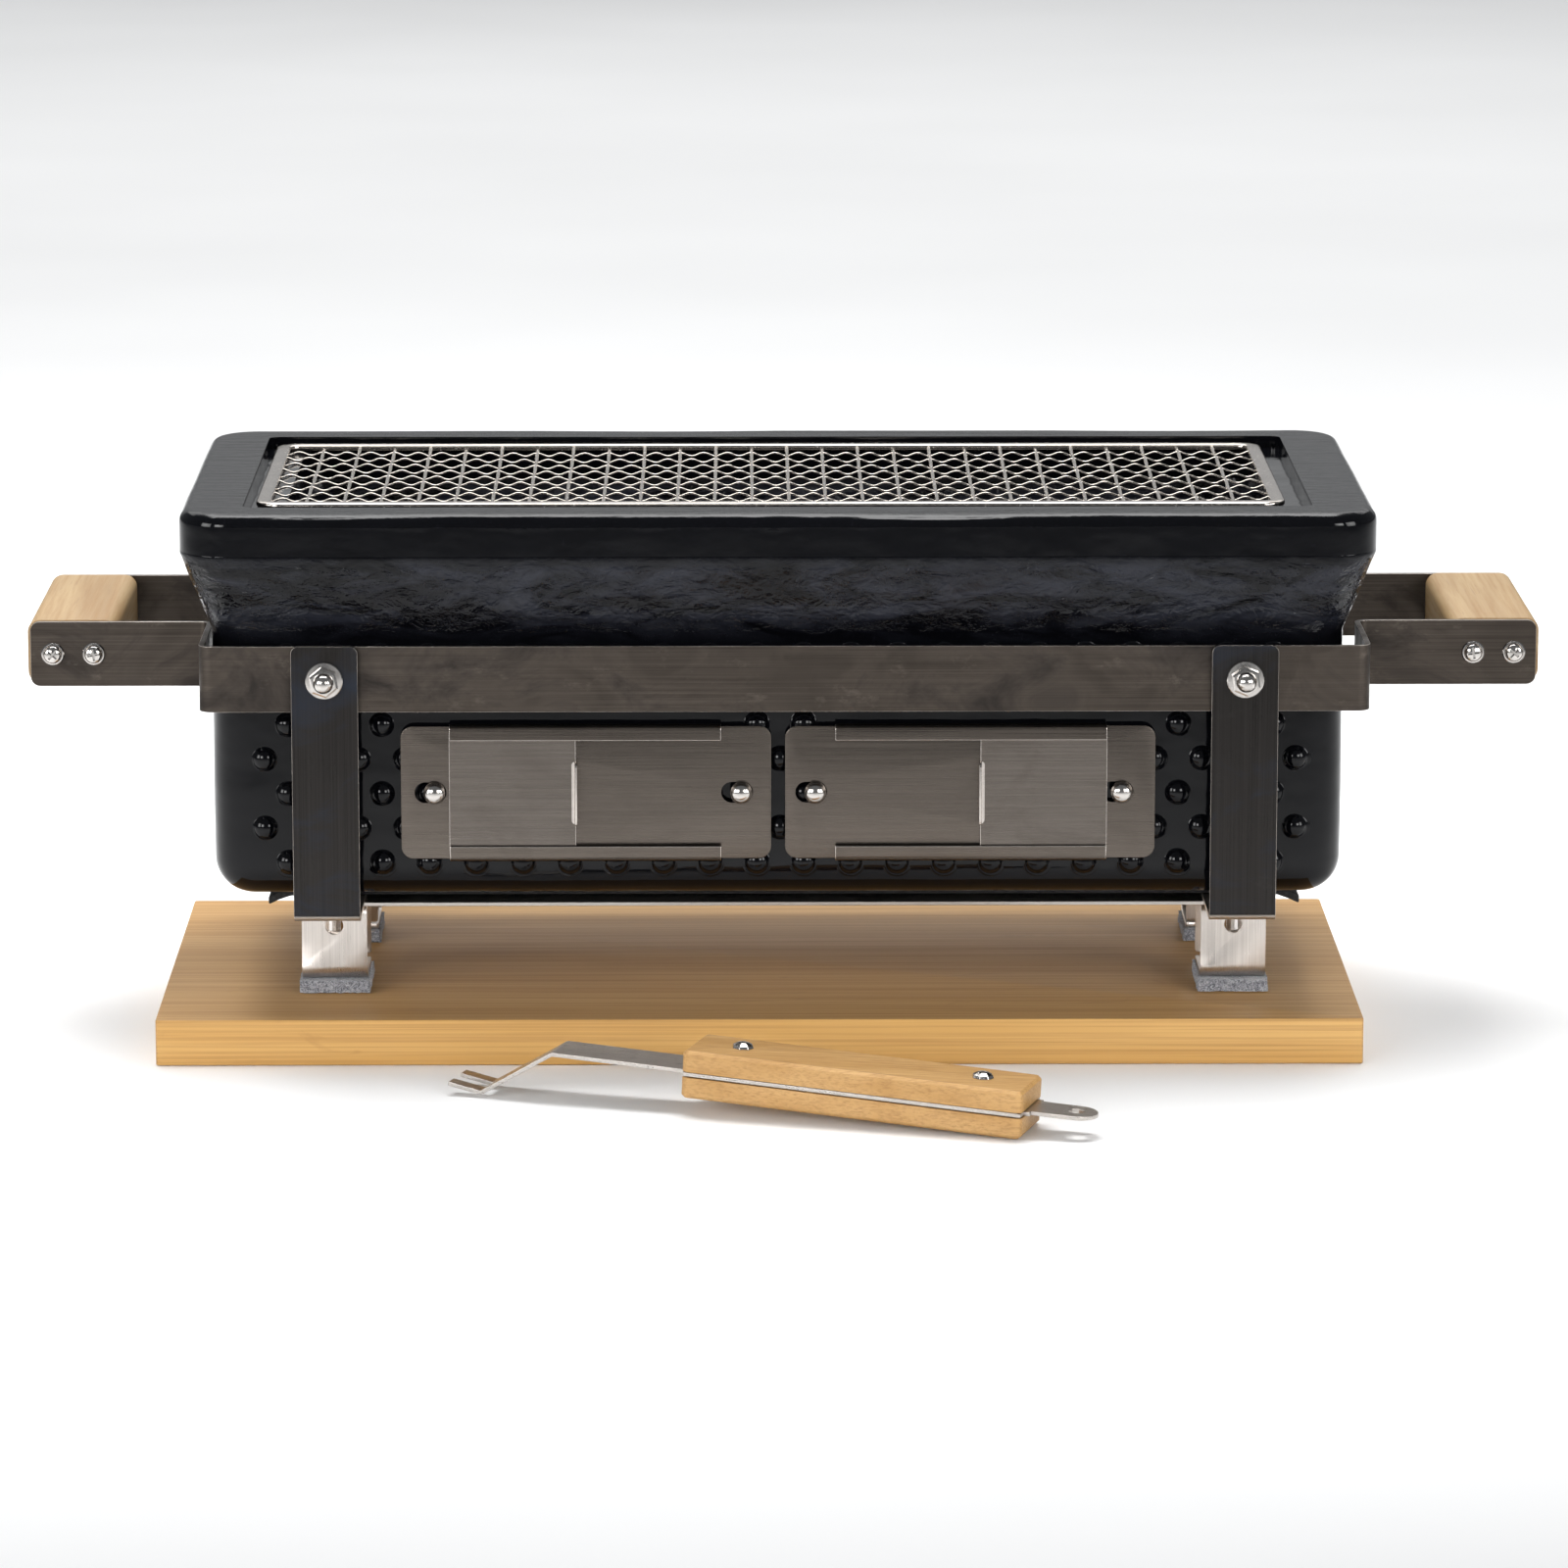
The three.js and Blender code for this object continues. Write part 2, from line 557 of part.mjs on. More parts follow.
// Steel blade: tail with a hanging hole, tang, neck, fold and two prongs.
function makeLifterBlade(parent) {
  const hook = [
    [-foldX - lifter.foldRun - lifter.prong, -lifter.foldDrop + lifter.prongRise],
    [-foldX - lifter.foldRun, -lifter.foldDrop],
    [-foldX, 0],
    [lifter.handleLength / 2 + 2, 0],
  ];
  const strip = slab(stripShape(hook, lifter.blade, 1.2, 2), lifter.bladeWidth)
    .rotateX(Math.PI / 2)
    .translate(0, lifter.bladeWidth / 2, 0);
  const tail = new THREE.Shape();
  const start = lifter.handleLength / 2;
  const end = start + lifter.tail;
  const half = lifter.tailWidth / 2;
  tail.moveTo(start, -half);
  tail.lineTo(end - half, -half);
  tail.absarc(end - half, 0, half, -Math.PI / 2, Math.PI / 2);
  tail.lineTo(start, half);
  tail.closePath();
  const tailSheet = slab(tail, lifter.blade, 6).translate(0, 0, -lifter.blade / 2);
  const tang = box(lifter.handleLength - 1, lifter.tangWidth, lifter.blade, 0, 0, 0);
  const slotX = -foldX - lifter.foldRun - lifter.prong / 2 - 2;
  const prongSlot = box(lifter.prong + 8, lifter.prongGap, 20, slotX, 0, -lifter.foldDrop);
  const tools = [
    prongSlot,
    pin(3, -3, 3).translate(end - half, 0, 0),
    pin(2.4, -3, 3).translate(-lifter.rivetX, 0, 0),
    pin(2.4, -3, 3).translate(lifter.rivetX, 0, 0),
  ];
  place('lifter_blade', cut(join(strip, [tailSheet, tang]), tools), paint.brightSteel(), parent);
}

function makeLifterScale(parent, name, low) {
  const [halfX, halfY, edge] = [lifter.handleLength / 2, lifter.handleWidth / 2, 1.2];
  const flank = { halfX, halfY, corner: 2 };
  const levels = name === 'lifter_upper_scale'
    ? [{ ...flank, z: low }, { ...flank, z: low + sandwich - edge }, shrunk(flank, edge, low + sandwich)]
    : [shrunk(flank, edge, low), { ...flank, z: low + edge }, { ...flank, z: low + sandwich }];
  const holes = [-1, 1].map((end) =>
    pin(2.4, low - 1, low + sandwich + 1).translate(end * lifter.rivetX, 0, 0));
  place(name, cut(loft(levels, 2), holes), paint.bamboo(), parent);
}

function makeLifterRivet(parent, name, x) {
  const [seat, head] = [lifter.height / 2 + 0.1, 4.25];
  const profile = [
    [0, -lifter.height / 2 + 0.6], [2, -lifter.height / 2 + 0.6], [2, seat],
    [head, seat], [head * 0.9, seat + 1.1], [head * 0.5, seat + 2], [0, seat + 2.2],
  ];
  place(name, turned(profile).translate(x, 0, 0), paint.chrome(), parent);
}

// The lifter lies in front of the board, on its fork and on one end of its handle.
function makeLifter() {
  const forkLow = lifter.foldDrop + lifter.blade;
  const tilt = Math.asin((forkLow - lifter.height / 2) / (foldX + lifter.foldRun + lifter.handleLength / 2));
  const lifterGroup = new THREE.Group();
  const height = lifter.height / 2 * Math.cos(tilt) + lifter.handleLength / 2 * Math.sin(tilt) + gap;
  lifterGroup.position.set(lifter.centreX, lifter.centreY, height);
  lifterGroup.rotation.order = 'ZYX';
  lifterGroup.rotation.set(0, tilt, lifter.yaw);
  group.add(lifterGroup);
  makeLifterBlade(lifterGroup);
  makeLifterScale(lifterGroup, 'lifter_upper_scale', lifter.blade / 2 + gap);
  makeLifterScale(lifterGroup, 'lifter_lower_scale', -lifter.blade / 2 - gap - sandwich);
  makeLifterRivet(lifterGroup, 'lifter_rivet_1', -lifter.rivetX);
  makeLifterRivet(lifterGroup, 'lifter_rivet_2', lifter.rivetX);
}

// ---- everything in its place -----------------------------------------------------------------------------

makeBoard();
makeBasePlate();
makeMat();
for (const face of faces) {
  makeBandStrap(face);
}
for (const side of sides) {
  makeLegStrap(side);
  makeGrip(side);
  makeVentPlate(side);
  makeVentDoor(side);
  makeVentScrews(side);
  for (const face of faces) {
    makeFeltPad(side, face);
    makeFoot(side, face);
    makeFootFasteners(side, face);
    makeLegFasteners(side, face);
    makeGripScrews(side, face);
  }
}
makeFirebox();
makeGrateFrame();
makeGrateMesh();
makeCharcoalGrate();
makeLifter();

export default group;
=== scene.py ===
# Looks of the hibachi grill: camera, studio, procedural materials and the detailed pieces that stand on the
# CAD frame. Everything is in metres in the frame of the CAD model: +Z up, -Y the front.

import math

import bpy
import bmesh
from mathutils import Matrix, Vector, noise


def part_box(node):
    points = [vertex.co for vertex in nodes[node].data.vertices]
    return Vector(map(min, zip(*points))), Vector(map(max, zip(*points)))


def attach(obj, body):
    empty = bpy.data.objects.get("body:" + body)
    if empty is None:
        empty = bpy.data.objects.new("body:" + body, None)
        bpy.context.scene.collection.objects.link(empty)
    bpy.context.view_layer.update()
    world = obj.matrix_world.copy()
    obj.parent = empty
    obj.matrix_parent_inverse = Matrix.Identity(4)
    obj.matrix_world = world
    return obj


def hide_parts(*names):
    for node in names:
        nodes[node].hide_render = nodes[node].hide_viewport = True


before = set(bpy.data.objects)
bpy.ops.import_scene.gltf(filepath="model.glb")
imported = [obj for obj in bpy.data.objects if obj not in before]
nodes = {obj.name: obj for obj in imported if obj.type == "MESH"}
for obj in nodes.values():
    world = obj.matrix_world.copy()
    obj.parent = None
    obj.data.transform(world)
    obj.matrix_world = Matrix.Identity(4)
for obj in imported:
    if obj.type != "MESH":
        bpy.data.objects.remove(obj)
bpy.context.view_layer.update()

MM = 0.001
SIDES = (("left", -1), ("right", 1))
FACES = (("front", -1), ("rear", 1))

# Without a seed of its own noise_vector, which roughens the felt, takes one from the clock.
noise.seed_set(1)

firebox_low, firebox_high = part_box("firebox")
FIREBOX_X = (firebox_low.x + firebox_high.x) / 2
BOARD_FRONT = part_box("bamboo_board")[0].y

STRAP = 2 * MM  # thickness of the band, leg and foot straps
VENT_OFFSET = 100 * MM  # from the firebox's middle to the middle of each vent hole
VENT_HEIGHT = 103.9 * MM  # of the middle of the vent holes


# ---- camera, light and floor ------------------------------------------------------------------------------

def make_camera():
    """A long lens from the front, turned half a degree aside and looking about 12 degrees down."""
    degrees_down, degrees_aside = 11.585, -0.449
    data = bpy.data.cameras.new("camera")
    data.sensor_width = 36
    data.lens = 166.5
    data.clip_end = 20
    camera = bpy.data.objects.new("camera", data)
    camera.location = (-0.0213, -2.7788, 0.6568)
    camera.rotation_euler = (math.radians(90 - degrees_down), 0, math.radians(degrees_aside))
    bpy.context.scene.collection.objects.link(camera)
    bpy.context.scene.camera = camera


def area_light(name, location, target, size, power, spread=180):
    """Rectangular light of a size in metres and a power in watts, whose beam spreads by so many degrees."""
    data = bpy.data.lights.new(name, "AREA")
    data.shape = "RECTANGLE"
    data.size, data.size_y = size
    data.energy = power
    data.spread = math.radians(spread)
    light = bpy.data.objects.new(name, data)
    light.location = location
    light.rotation_euler = (Vector(target) - Vector(location)).to_track_quat("-Z", "Y").to_euler()
    bpy.context.scene.collection.objects.link(light)


def make_studio():
    """Softboxes overhead, low in front and at each side, a pale glow behind, and a wash on the floor
    far in front and far behind."""
    area_light("overhead", (-0.15, 0.35, 1.6), (-0.15, 0.3, 0), (1.4, 1.0), 19, spread=112)
    area_light("front_left", (-1.15, -2.3, 0.75), (0, 0, 0.12), (0.8, 0.8), 1.0, spread=34)
    area_light("front_right", (1.2, -2.2, 0.75), (0, 0, 0.12), (0.8, 0.8), 0.85, spread=34)
    area_light("side_left", (-1.6, -1.1, 0.6), (0, 0, 0.13), (0.7, 0.8), 1.3, spread=50)
    area_light("side_right", (1.6, -1.1, 0.6), (0, 0, 0.13), (0.7, 0.8), 1.15, spread=50)
    area_light("front_wash", (0, -4.2, 2.2), (0, -4.2, 0), (4, 2), 26, spread=100)
    area_light("glow_behind", (0, 4.6, 1.2), (0, 0, 0.4), (6, 1.6), 9)
    area_light("floor_wash", (0, 2.7, 2.2), (0, 2.7, 0), (5, 2.6), 78)
    world = bpy.data.worlds.new("room")
    world.use_nodes = True
    background = world.node_tree.nodes["Background"]
    background.inputs["Color"].default_value = (0.92, 0.96, 1.0, 1)
    background.inputs["Strength"].default_value = 0.17
    bpy.context.scene.world = world
    bpy.context.scene.view_settings.view_transform = "Standard"


# ---- materials --------------------------------------------------------------------------------------------

class Graph:
    """A material and the small steps that its procedural nodes are made of."""

    def __init__(self, name, **sockets):
        self.material = bpy.data.materials.new(name)
        self.material.use_nodes = True
        self.tree = self.material.node_tree
        self.shader = self.tree.nodes["Principled BSDF"]
        for socket, value in sockets.items():
            self.shader.inputs[socket.replace("_", " ")].default_value = value

    def add(self, kind, inputs, **settings):
        node = self.tree.nodes.new(kind)
        for key, value in settings.items():
            setattr(node, key, value)
        for key, value in inputs.items():
            self.feed(node.inputs[key], value)
        return node

    def feed(self, socket, value):
        if isinstance(value, bpy.types.NodeSocket):
            self.tree.links.new(value, socket)
        elif socket.type == "RGBA":
            socket.default_value = (*value, 1)
        else:
            socket.default_value = value

    def place(self, scale, offset=(0, 0, 0)):
        """Object coordinates in metres, times scale, so that a stretched scale gives a grain."""
        source = self.add("ShaderNodeTexCoord", {}).outputs["Object"]
        inputs = {"Vector": source, "Scale": scale, "Location": offset}
        return self.add("ShaderNodeMapping", inputs).outputs[0]

    def noise(self, scale, detail=4.0, rough=0.55, distortion=0.0, offset=(0, 0, 0)):
        inputs = {"Vector": self.place(scale, offset), "Scale": 1.0, "Detail": detail, "Roughness": rough,
                  "Distortion": distortion}
        return self.add("ShaderNodeTexNoise", inputs).outputs["Fac"]

    def span(self, value, low, high, to_low=0.0, to_high=1.0):
        inputs = {"Value": value, "From Min": low, "From Max": high, "To Min": to_low, "To Max": to_high}
        return self.add("ShaderNodeMapRange", inputs, clamp=True).outputs[0]

    def sums(self, operation, first, second):
        return self.add("ShaderNodeMath", {0: first, 1: second}, operation=operation).outputs[0]

    def mix(self, share, first, second, blend="MIX"):
        node = self.add("ShaderNodeMix", {}, data_type="RGBA", blend_type=blend)
        self.feed(node.inputs["Factor"], share)
        self.feed(node.inputs[6], first)
        self.feed(node.inputs[7], second)
        return node.outputs[2]

    def axis(self, letter):
        """One object coordinate, in metres."""
        source = self.add("ShaderNodeTexCoord", {}).outputs["Object"]
        return self.add("ShaderNodeSeparateXYZ", {"Vector": source}).outputs[letter]

    def bump(self, height, distance, strength=1.0, normal=None):
        inputs = {"Height": height, "Distance": distance, "Strength": strength}
        if normal is not None:
            inputs["Normal"] = normal
        return self.add("ShaderNodeBump", inputs).outputs[0]

    def set(self, socket, value):
        self.feed(self.shader.inputs[socket], value)


def brushed_steel(name, dark, light, grain, roughness=0.34, smudge=0.35, tint=(0.10, 0.085, 0.07),
                  tint_share=0.4, highlight_below=0.0):
    """Steel with a grain along one axis, cloudy smudges, a tint in places, and a highlight painted bright
    below a height.
    """
    bottom_highlight, highlight_fade = (0.62, 0.57, 0.52), 0.8 * MM
    g = Graph(name, Metallic=1.0)
    fine = g.noise(grain, detail=3.0, rough=0.6)
    coarse = g.noise([s * 0.25 for s in grain], detail=2.0, offset=(3, 5, 7))
    cloud = g.noise((24, 24, 34), detail=5.0, rough=0.65, distortion=0.8)
    spots = g.noise((60, 60, 110), detail=6.0, rough=0.72, offset=(9, 2, 4))
    steel = g.mix(g.span(fine, 0.3, 0.7), dark, light)
    shaded = [c * 0.6 for c in dark]
    rubbed = [min(1, c * 1.5) for c in light]
    steel = g.mix(g.span(coarse, 0.35, 0.75, 0.0, 0.22), steel, shaded)
    steel = g.mix(g.span(cloud, 0.5, 0.72, 0.0, tint_share), steel, tint)
    steel = g.mix(g.span(spots, 0.6, 0.75, 0.0, smudge * 0.5), steel, rubbed)
    # Painted highlight: below the given height the steel is made much brighter, as on a bend that catches the
    # light.
    if highlight_below:
        steel = g.mix(g.span(g.axis("Z"), highlight_below, highlight_below + highlight_fade, 0.9, 0.0), steel, bottom_highlight)
    g.set("Base Color", steel)
    rough = g.sums("ADD", g.span(fine, 0.25, 0.75, roughness - 0.06, roughness + 0.06),
                   g.span(cloud, 0.4, 0.7, 0.0, smudge * 0.3))
    g.set("Roughness", rough)
    g.set("Normal", g.bump(fine, 0.00003, 0.35))
    return g.material


def glaze_material():
    """Thick black glaze with slow waves all over, lumps on the flare, blue-grey patches on the flare that are
    a painted reflection, and fine ripples on the rim's top.
    """
    g = Graph("black_glaze")
    g.shader.inputs["Specular IOR Level"].default_value = 0.24
    pits = g.noise((900, 900, 900), detail=1.0, offset=(2, 7, 1))
    reflection_cloud = g.noise((26, 26, 80), detail=5.0, rough=0.62, distortion=0.9, offset=(1, 4, 8))
    slow = g.noise((38, 38, 60), detail=2.0, rough=0.4)
    lumps = g.noise((95, 95, 170), detail=4.0, rough=0.58, distortion=0.4)
    ripples = g.noise((60, 260, 60), detail=3.0, rough=0.5, offset=(6, 3, 2))
    height = g.axis("Z")
    flare_starts, flare_full = 160 * MM, 172 * MM
    lip_starts, lip_full = 190 * MM, 195.5 * MM
    top_starts, top_full = 209.3 * MM, 211 * MM
    on_flare = g.span(height, flare_starts, flare_full)
    off_lip = g.span(height, lip_starts, lip_full, 1.0, 0.03)
    on_top = g.span(height, top_starts, top_full)
    rough_part = g.sums("MULTIPLY", on_flare, off_lip)
    glass = g.mix(g.span(pits, 0.68, 0.74), (0.0018, 0.0019, 0.0027), (0.005, 0.005, 0.007))
    # Painted reflection: blue-grey patches in the base colour on the flare, below the lip.
    painted_reflection = g.sums("MULTIPLY", g.span(reflection_cloud, 0.4, 0.62), rough_part)
    g.set("Base Color", g.mix(painted_reflection, glass, (0.018, 0.0195, 0.0265)))
    waves = g.bump(slow, 0.0012, 0.45)
    lumpy = g.bump(g.sums("MULTIPLY", lumps, rough_part), 0.0022, 1.0, waves)
    g.set("Normal", g.bump(g.sums("MULTIPLY", ripples, on_top), 0.0008, 0.6, lumpy))
    g.set("Roughness", g.span(height, top_starts, top_full, 0.07, 0.24))
    return g.material


def bamboo_material(name, scale, tone, lit_face_y=None):
    """Pressed bamboo: long fibres along X, strips of slightly different colour, dark knots and specks.
    What lies in front of the given Y, the board's cut front face, is made paler: painted light."""
    g = Graph(name)
    long, cross = 2.2 * scale, 150 * scale

    def stretched(length, width):
        return (length, width, width)

    fibre = g.noise(stretched(long * 3, cross * 7), detail=4.0, rough=0.6)
    line = g.noise(stretched(long * 2, cross * 2.6), detail=3.0, rough=0.55, offset=(7, 2, 5))
    band = g.noise(stretched(long, cross * 0.55), detail=3.0, rough=0.5, distortion=0.2, offset=(4, 1, 2))
    patch = g.noise(stretched(long * 2, 26 * scale), detail=3.0, rough=0.6, distortion=0.8,
                    offset=(1, 8, 3))
    knots = g.noise(stretched(26 * scale, 60 * scale), detail=4.0, rough=0.65, distortion=1.2,
                    offset=(2, 6, 9))
    pale, honey, dark = [[c * tone for c in color] for color in
                         ((0.74, 0.44, 0.165), (0.60, 0.325, 0.095), (0.36, 0.17, 0.045))]
    wood = g.mix(g.span(band, 0.3, 0.7), pale, honey)
    wood = g.mix(g.span(fibre, 0.46, 0.70, 0.0, 0.6), wood, dark)
    wood = g.mix(g.span(line, 0.55, 0.7, 0.0, 0.3), wood, dark)
    wood = g.mix(g.span(patch, 0.5, 0.75, 0.0, 0.35), wood, honey)
    wood = g.mix(g.span(knots, 0.62, 0.78, 0.0, 0.45), wood, dark)
    if lit_face_y is not None:
        # Painted light: the board's front face is made paler, as if lit from the front.
        edge_fade, painted_light = 0.4 * MM, (1.12, 1.13, 1.02)
        wood = g.mix(g.span(g.axis("Y"), lit_face_y, lit_face_y + edge_fade, 1.0, 0.0), wood, painted_light, "MULTIPLY")
    g.set("Base Color", wood)
    g.set("Roughness", g.span(fibre, 0.3, 0.7, 0.42, 0.58))
    g.set("Normal", g.bump(fibre, 0.00006, 0.4))
    return g.material


def grip_wood_material():
    """Pale open-pored wood: grain along Y with short darker pores."""
    g = Graph("pale_grip_wood")
    figure = g.noise((70, 5, 70), detail=4.0, rough=0.55, distortion=0.9)
    streaks = g.noise((520, 16, 520), detail=4.0, rough=0.6, offset=(2, 2, 2))
    pores = g.noise((900, 45, 900), detail=2.0, rough=0.5, offset=(5, 1, 5))
    wood = g.mix(g.span(figure, 0.35, 0.65), (0.36, 0.245, 0.118), (0.27, 0.165, 0.069))
    wood = g.mix(g.span(streaks, 0.46, 0.68, 0.0, 0.6), wood, (0.26, 0.145, 0.055))
    wood = g.mix(g.span(pores, 0.64, 0.72, 0.0, 0.5), wood, (0.22, 0.12, 0.05))
    g.set("Base Color", wood)
    g.set("Roughness", g.span(streaks, 0.3, 0.7, 0.5, 0.66))
    g.set("Normal", g.bump(g.sums("ADD", streaks, pores), 0.00008, 0.4))
    return g.material


def felt_material():
    """Grey wool felt with light and dark fibres."""
    g = Graph("speckled_felt", Roughness=0.95, Sheen_Weight=0.4)
    fibres = g.noise((900, 900, 900), detail=4.0, rough=0.8, distortion=1.5)
    clumps = g.noise((260, 260, 420), detail=3.0, rough=0.7, offset=(3, 3, 3))
    wool = g.mix(g.span(fibres, 0.42, 0.6), (0.07, 0.075, 0.09), (0.44, 0.45, 0.49))
    wool = g.mix(g.span(clumps, 0.5, 0.7, 0.0, 0.5), wool, (0.6, 0.6, 0.63))
    g.set("Base Color", wool)
    g.set("Normal", g.bump(fibres, 0.0006, 0.9))
    return g.material


def mat_material():
    """Soft matt black mat with a fine pebbled skin."""
    g = Graph("black_mat", Roughness=0.85)
    pebbles = g.noise((700, 700, 700), detail=3.0, rough=0.6)
    g.set("Base Color", g.mix(g.span(pebbles, 0.4, 0.65), (0.005, 0.005, 0.005), (0.02, 0.02, 0.021)))
    g.set("Normal", g.bump(pebbles, 0.0003, 0.6))
    return g.material


def polished_material(name, color, roughness):
    """Polished metal with faint tool marks and a little dirt in random patches."""
    g = Graph(name, Metallic=1.0)
    marks = g.noise((600, 600, 600), detail=3.0, rough=0.6)
    dirt = g.noise((160, 160, 160), detail=4.0, rough=0.7, offset=(4, 4, 4))
    metal = g.mix(g.span(dirt, 0.5, 0.75, 0.0, 0.4), color, [c * 0.55 for c in color])
    g.set("Base Color", metal)
    g.set("Roughness", g.span(marks, 0.3, 0.7, roughness * 0.7, roughness * 1.4))
    g.set("Normal", g.bump(marks, 0.00002, 0.3))
    return g.material


def floor_material():
    """Matt off-white studio floor with a barely visible tone change."""
    g = Graph("studio_floor", Roughness=0.9)
    tone = g.noise((2, 2, 2), detail=2.0)
    g.set("Base Color", g.mix(g.span(tone, 0.3, 0.7), (0.86, 0.86, 0.86), (0.9, 0.9, 0.9)))
    return g.material


FINE = 3200  # noise scale across a brushed grain, per metre

material = {
    "bamboo": bamboo_material("board_bamboo", 1.0, 0.78, lit_face_y=BOARD_FRONT + 0.1 * MM),
    "lifter_bamboo": bamboo_material("handle_bamboo", 1.3, 0.7),
    "grip_wood": grip_wood_material(),
    "felt": felt_material(),
    "black_mat": mat_material(),
    "glaze": glaze_material(),
    "strap_steel": brushed_steel("band_strap_steel", (0.058, 0.048, 0.040), (0.094, 0.079, 0.067),
                                 (10, 10, FINE), 0.33, 1.3, tint=(0.030, 0.027, 0.026), tint_share=0.8),
    # The leg strap's steel gets a painted highlight below 57.8 mm, along its bottom bend.
    "leg_steel": brushed_steel("leg_strap_steel", (0.027, 0.025, 0.024), (0.039, 0.036, 0.034),
                               (FINE, FINE, 12), 0.3, 0.5, tint=(0.030, 0.038, 0.056), tint_share=0.65,
                               highlight_below=57.8 * MM),
    # Much brighter steel for the straps' rounded edges: a painted highlight.
    "edge_highlight_steel": brushed_steel("painted_edge_highlight", (0.46, 0.41, 0.37), (0.6, 0.55, 0.5),
                                (40, 40, 40), 0.3, 0.3, tint=(0.22, 0.20, 0.18), tint_share=0.7),
    "foot_steel": brushed_steel("foot_strap_steel", (0.55, 0.50, 0.46), (0.75, 0.70, 0.65),
                                (FINE, FINE, 14), 0.3, 0.2, tint=(0.5, 0.44, 0.39), tint_share=0.3),
    "bright_steel": brushed_steel("sheet_steel", (0.42, 0.39, 0.36), (0.6, 0.56, 0.52),
                                  (14, FINE, FINE), 0.28, 0.2, tint=(0.38, 0.34, 0.30), tint_share=0.3),
    "plate_steel": brushed_steel("vent_plate_steel", (0.118, 0.100, 0.086), (0.145, 0.125, 0.108),
                                 (14, FINE, FINE), 0.27, 0.1, tint=(0.098, 0.084, 0.072), tint_share=0.5),
    "door_steel": brushed_steel("vent_door_steel", (0.152, 0.132, 0.116), (0.182, 0.160, 0.142),
                                (14, FINE, FINE), 0.26, 0.1, tint=(0.105, 0.090, 0.078), tint_share=0.65),
    # Much brighter steel for the vents' folds, edges and door tab: a painted highlight.
    "fold_highlight_steel": brushed_steel("vent_fold_painted_highlight", (0.55, 0.50, 0.46), (0.65, 0.60, 0.56),
                                (14, FINE, FINE), 0.22, 0.1, tint=(0.42, 0.38, 0.35), tint_share=0.4),
    "fastener": polished_material("polished_fastener", (0.62, 0.59, 0.56), 0.14),
    "grate_wire": polished_material("plated_wire", (0.50, 0.46, 0.42), 0.2),
    "coal_grate": brushed_steel("coal_grate_steel", (0.16, 0.15, 0.14), (0.3, 0.28, 0.26),
                                (12, FINE, 12), 0.42, 0.4),
}


# ---- mesh helpers -----------------------------------------------------------------------------------------

def new_piece(name, vertices, faces, slot_material, smooth=True):
    """Mesh object from vertices in metres and faces, with its normals made to point outward."""
    mesh = bpy.data.meshes.new(name)
    mesh.from_pydata([tuple(v) for v in vertices], [], faces)
    mesh.materials.append(slot_material)
    editing = bmesh.new()
    editing.from_mesh(mesh)
    bmesh.ops.recalc_face_normals(editing, faces=editing.faces)
    editing.to_mesh(mesh)
    editing.free()
    piece = bpy.data.objects.new(name, mesh)
    bpy.context.scene.collection.objects.link(piece)
    if smooth:
        mesh.polygons.foreach_set("use_smooth", [True] * len(mesh.polygons))
    return piece


def smooth_by_angle(piece, degrees=35):
    """Smooth shading with sharp edges kept where faces meet at more than this angle."""
    mesh = piece.data
    mesh.polygons.foreach_set("use_smooth", [True] * len(mesh.polygons))
    mesh.set_sharp_from_angle(angle=math.radians(degrees))


def bevel(piece, width, segments=2, degrees=30):
    """Rounds the edges where faces meet at more than this angle."""
    modifier = piece.modifiers.new("edge_round", "BEVEL")
    modifier.width = width
    modifier.segments = segments
    modifier.limit_method = "ANGLE"
    modifier.angle_limit = math.radians(degrees)
    modifier.harden_normals = True


def paint_edge_highlight(piece, edge_material):
    """Gives the faces of the piece's rounded edges a second, brighter material: a painted highlight along the
    edges.
    """
    piece.data.materials.append(edge_material)
    for modifier in piece.modifiers:
        if modifier.type == "BEVEL":
            modifier.material = 1


def apply_modifiers(piece):
    """Makes the piece's modifiers part of its mesh."""
    graph = bpy.context.evaluated_depsgraph_get()
    mesh = bpy.data.meshes.new_from_object(piece.evaluated_get(graph))
    piece.modifiers.clear()
    piece.data = mesh


def carve(piece, cutters):
    """Cuts the cutter objects out of the piece and removes them."""
    for cutter in cutters:
        modifier = piece.modifiers.new("carve", "BOOLEAN")
        modifier.operation = "DIFFERENCE"
        modifier.solver = "EXACT"
        modifier.object = cutter
    bpy.context.view_layer.update()
    apply_modifiers(piece)
    for cutter in cutters:
        bpy.data.objects.remove(cutter)


def finish_piece(piece, body, slot, *replaced):
    """Puts a piece on its CAD body and hides the CAD nodes it stands for. Its slot argument is not used."""
    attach(piece, body)
    if replaced:
        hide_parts(*replaced)


def dress(node, slot_material, width, segments=2):
    """Gives a CAD node its material, clean shading and rounded edges. Its mesh stays as it is."""
    piece = nodes[node]
    piece.data.materials.clear()
    piece.data.materials.append(slot_material)
    piece.modifiers.new("weld", "WELD").merge_threshold = 1e-6
    planar = piece.modifiers.new("flat_faces", "DECIMATE")
    planar.decimate_type = "DISSOLVE"
    planar.angle_limit = math.radians(1)
    bevel(piece, width, segments)


def ring_faces(first, second, count):
    """Faces between two rings of so many vertices, from the index of each ring's first vertex."""
    pairs = [(k, (k + 1) % count) for k in range(count)]
    return [(first + k, first + n, second + n, second + k) for k, n in pairs]


def corner_arcs(half_x, half_y, corner, steps):
    """Round a rectangle's corners: x and y of the arc's centre, then cosine and sine of the way outward."""
    for quadrant, (sx, sy) in enumerate(((1, 1), (-1, 1), (-1, -1), (1, -1))):
        for step in range(steps + 1):
            angle = (quadrant + step / steps) * math.pi / 2
            yield sx * (half_x - corner), sy * (half_y - corner), math.cos(angle), math.sin(angle)


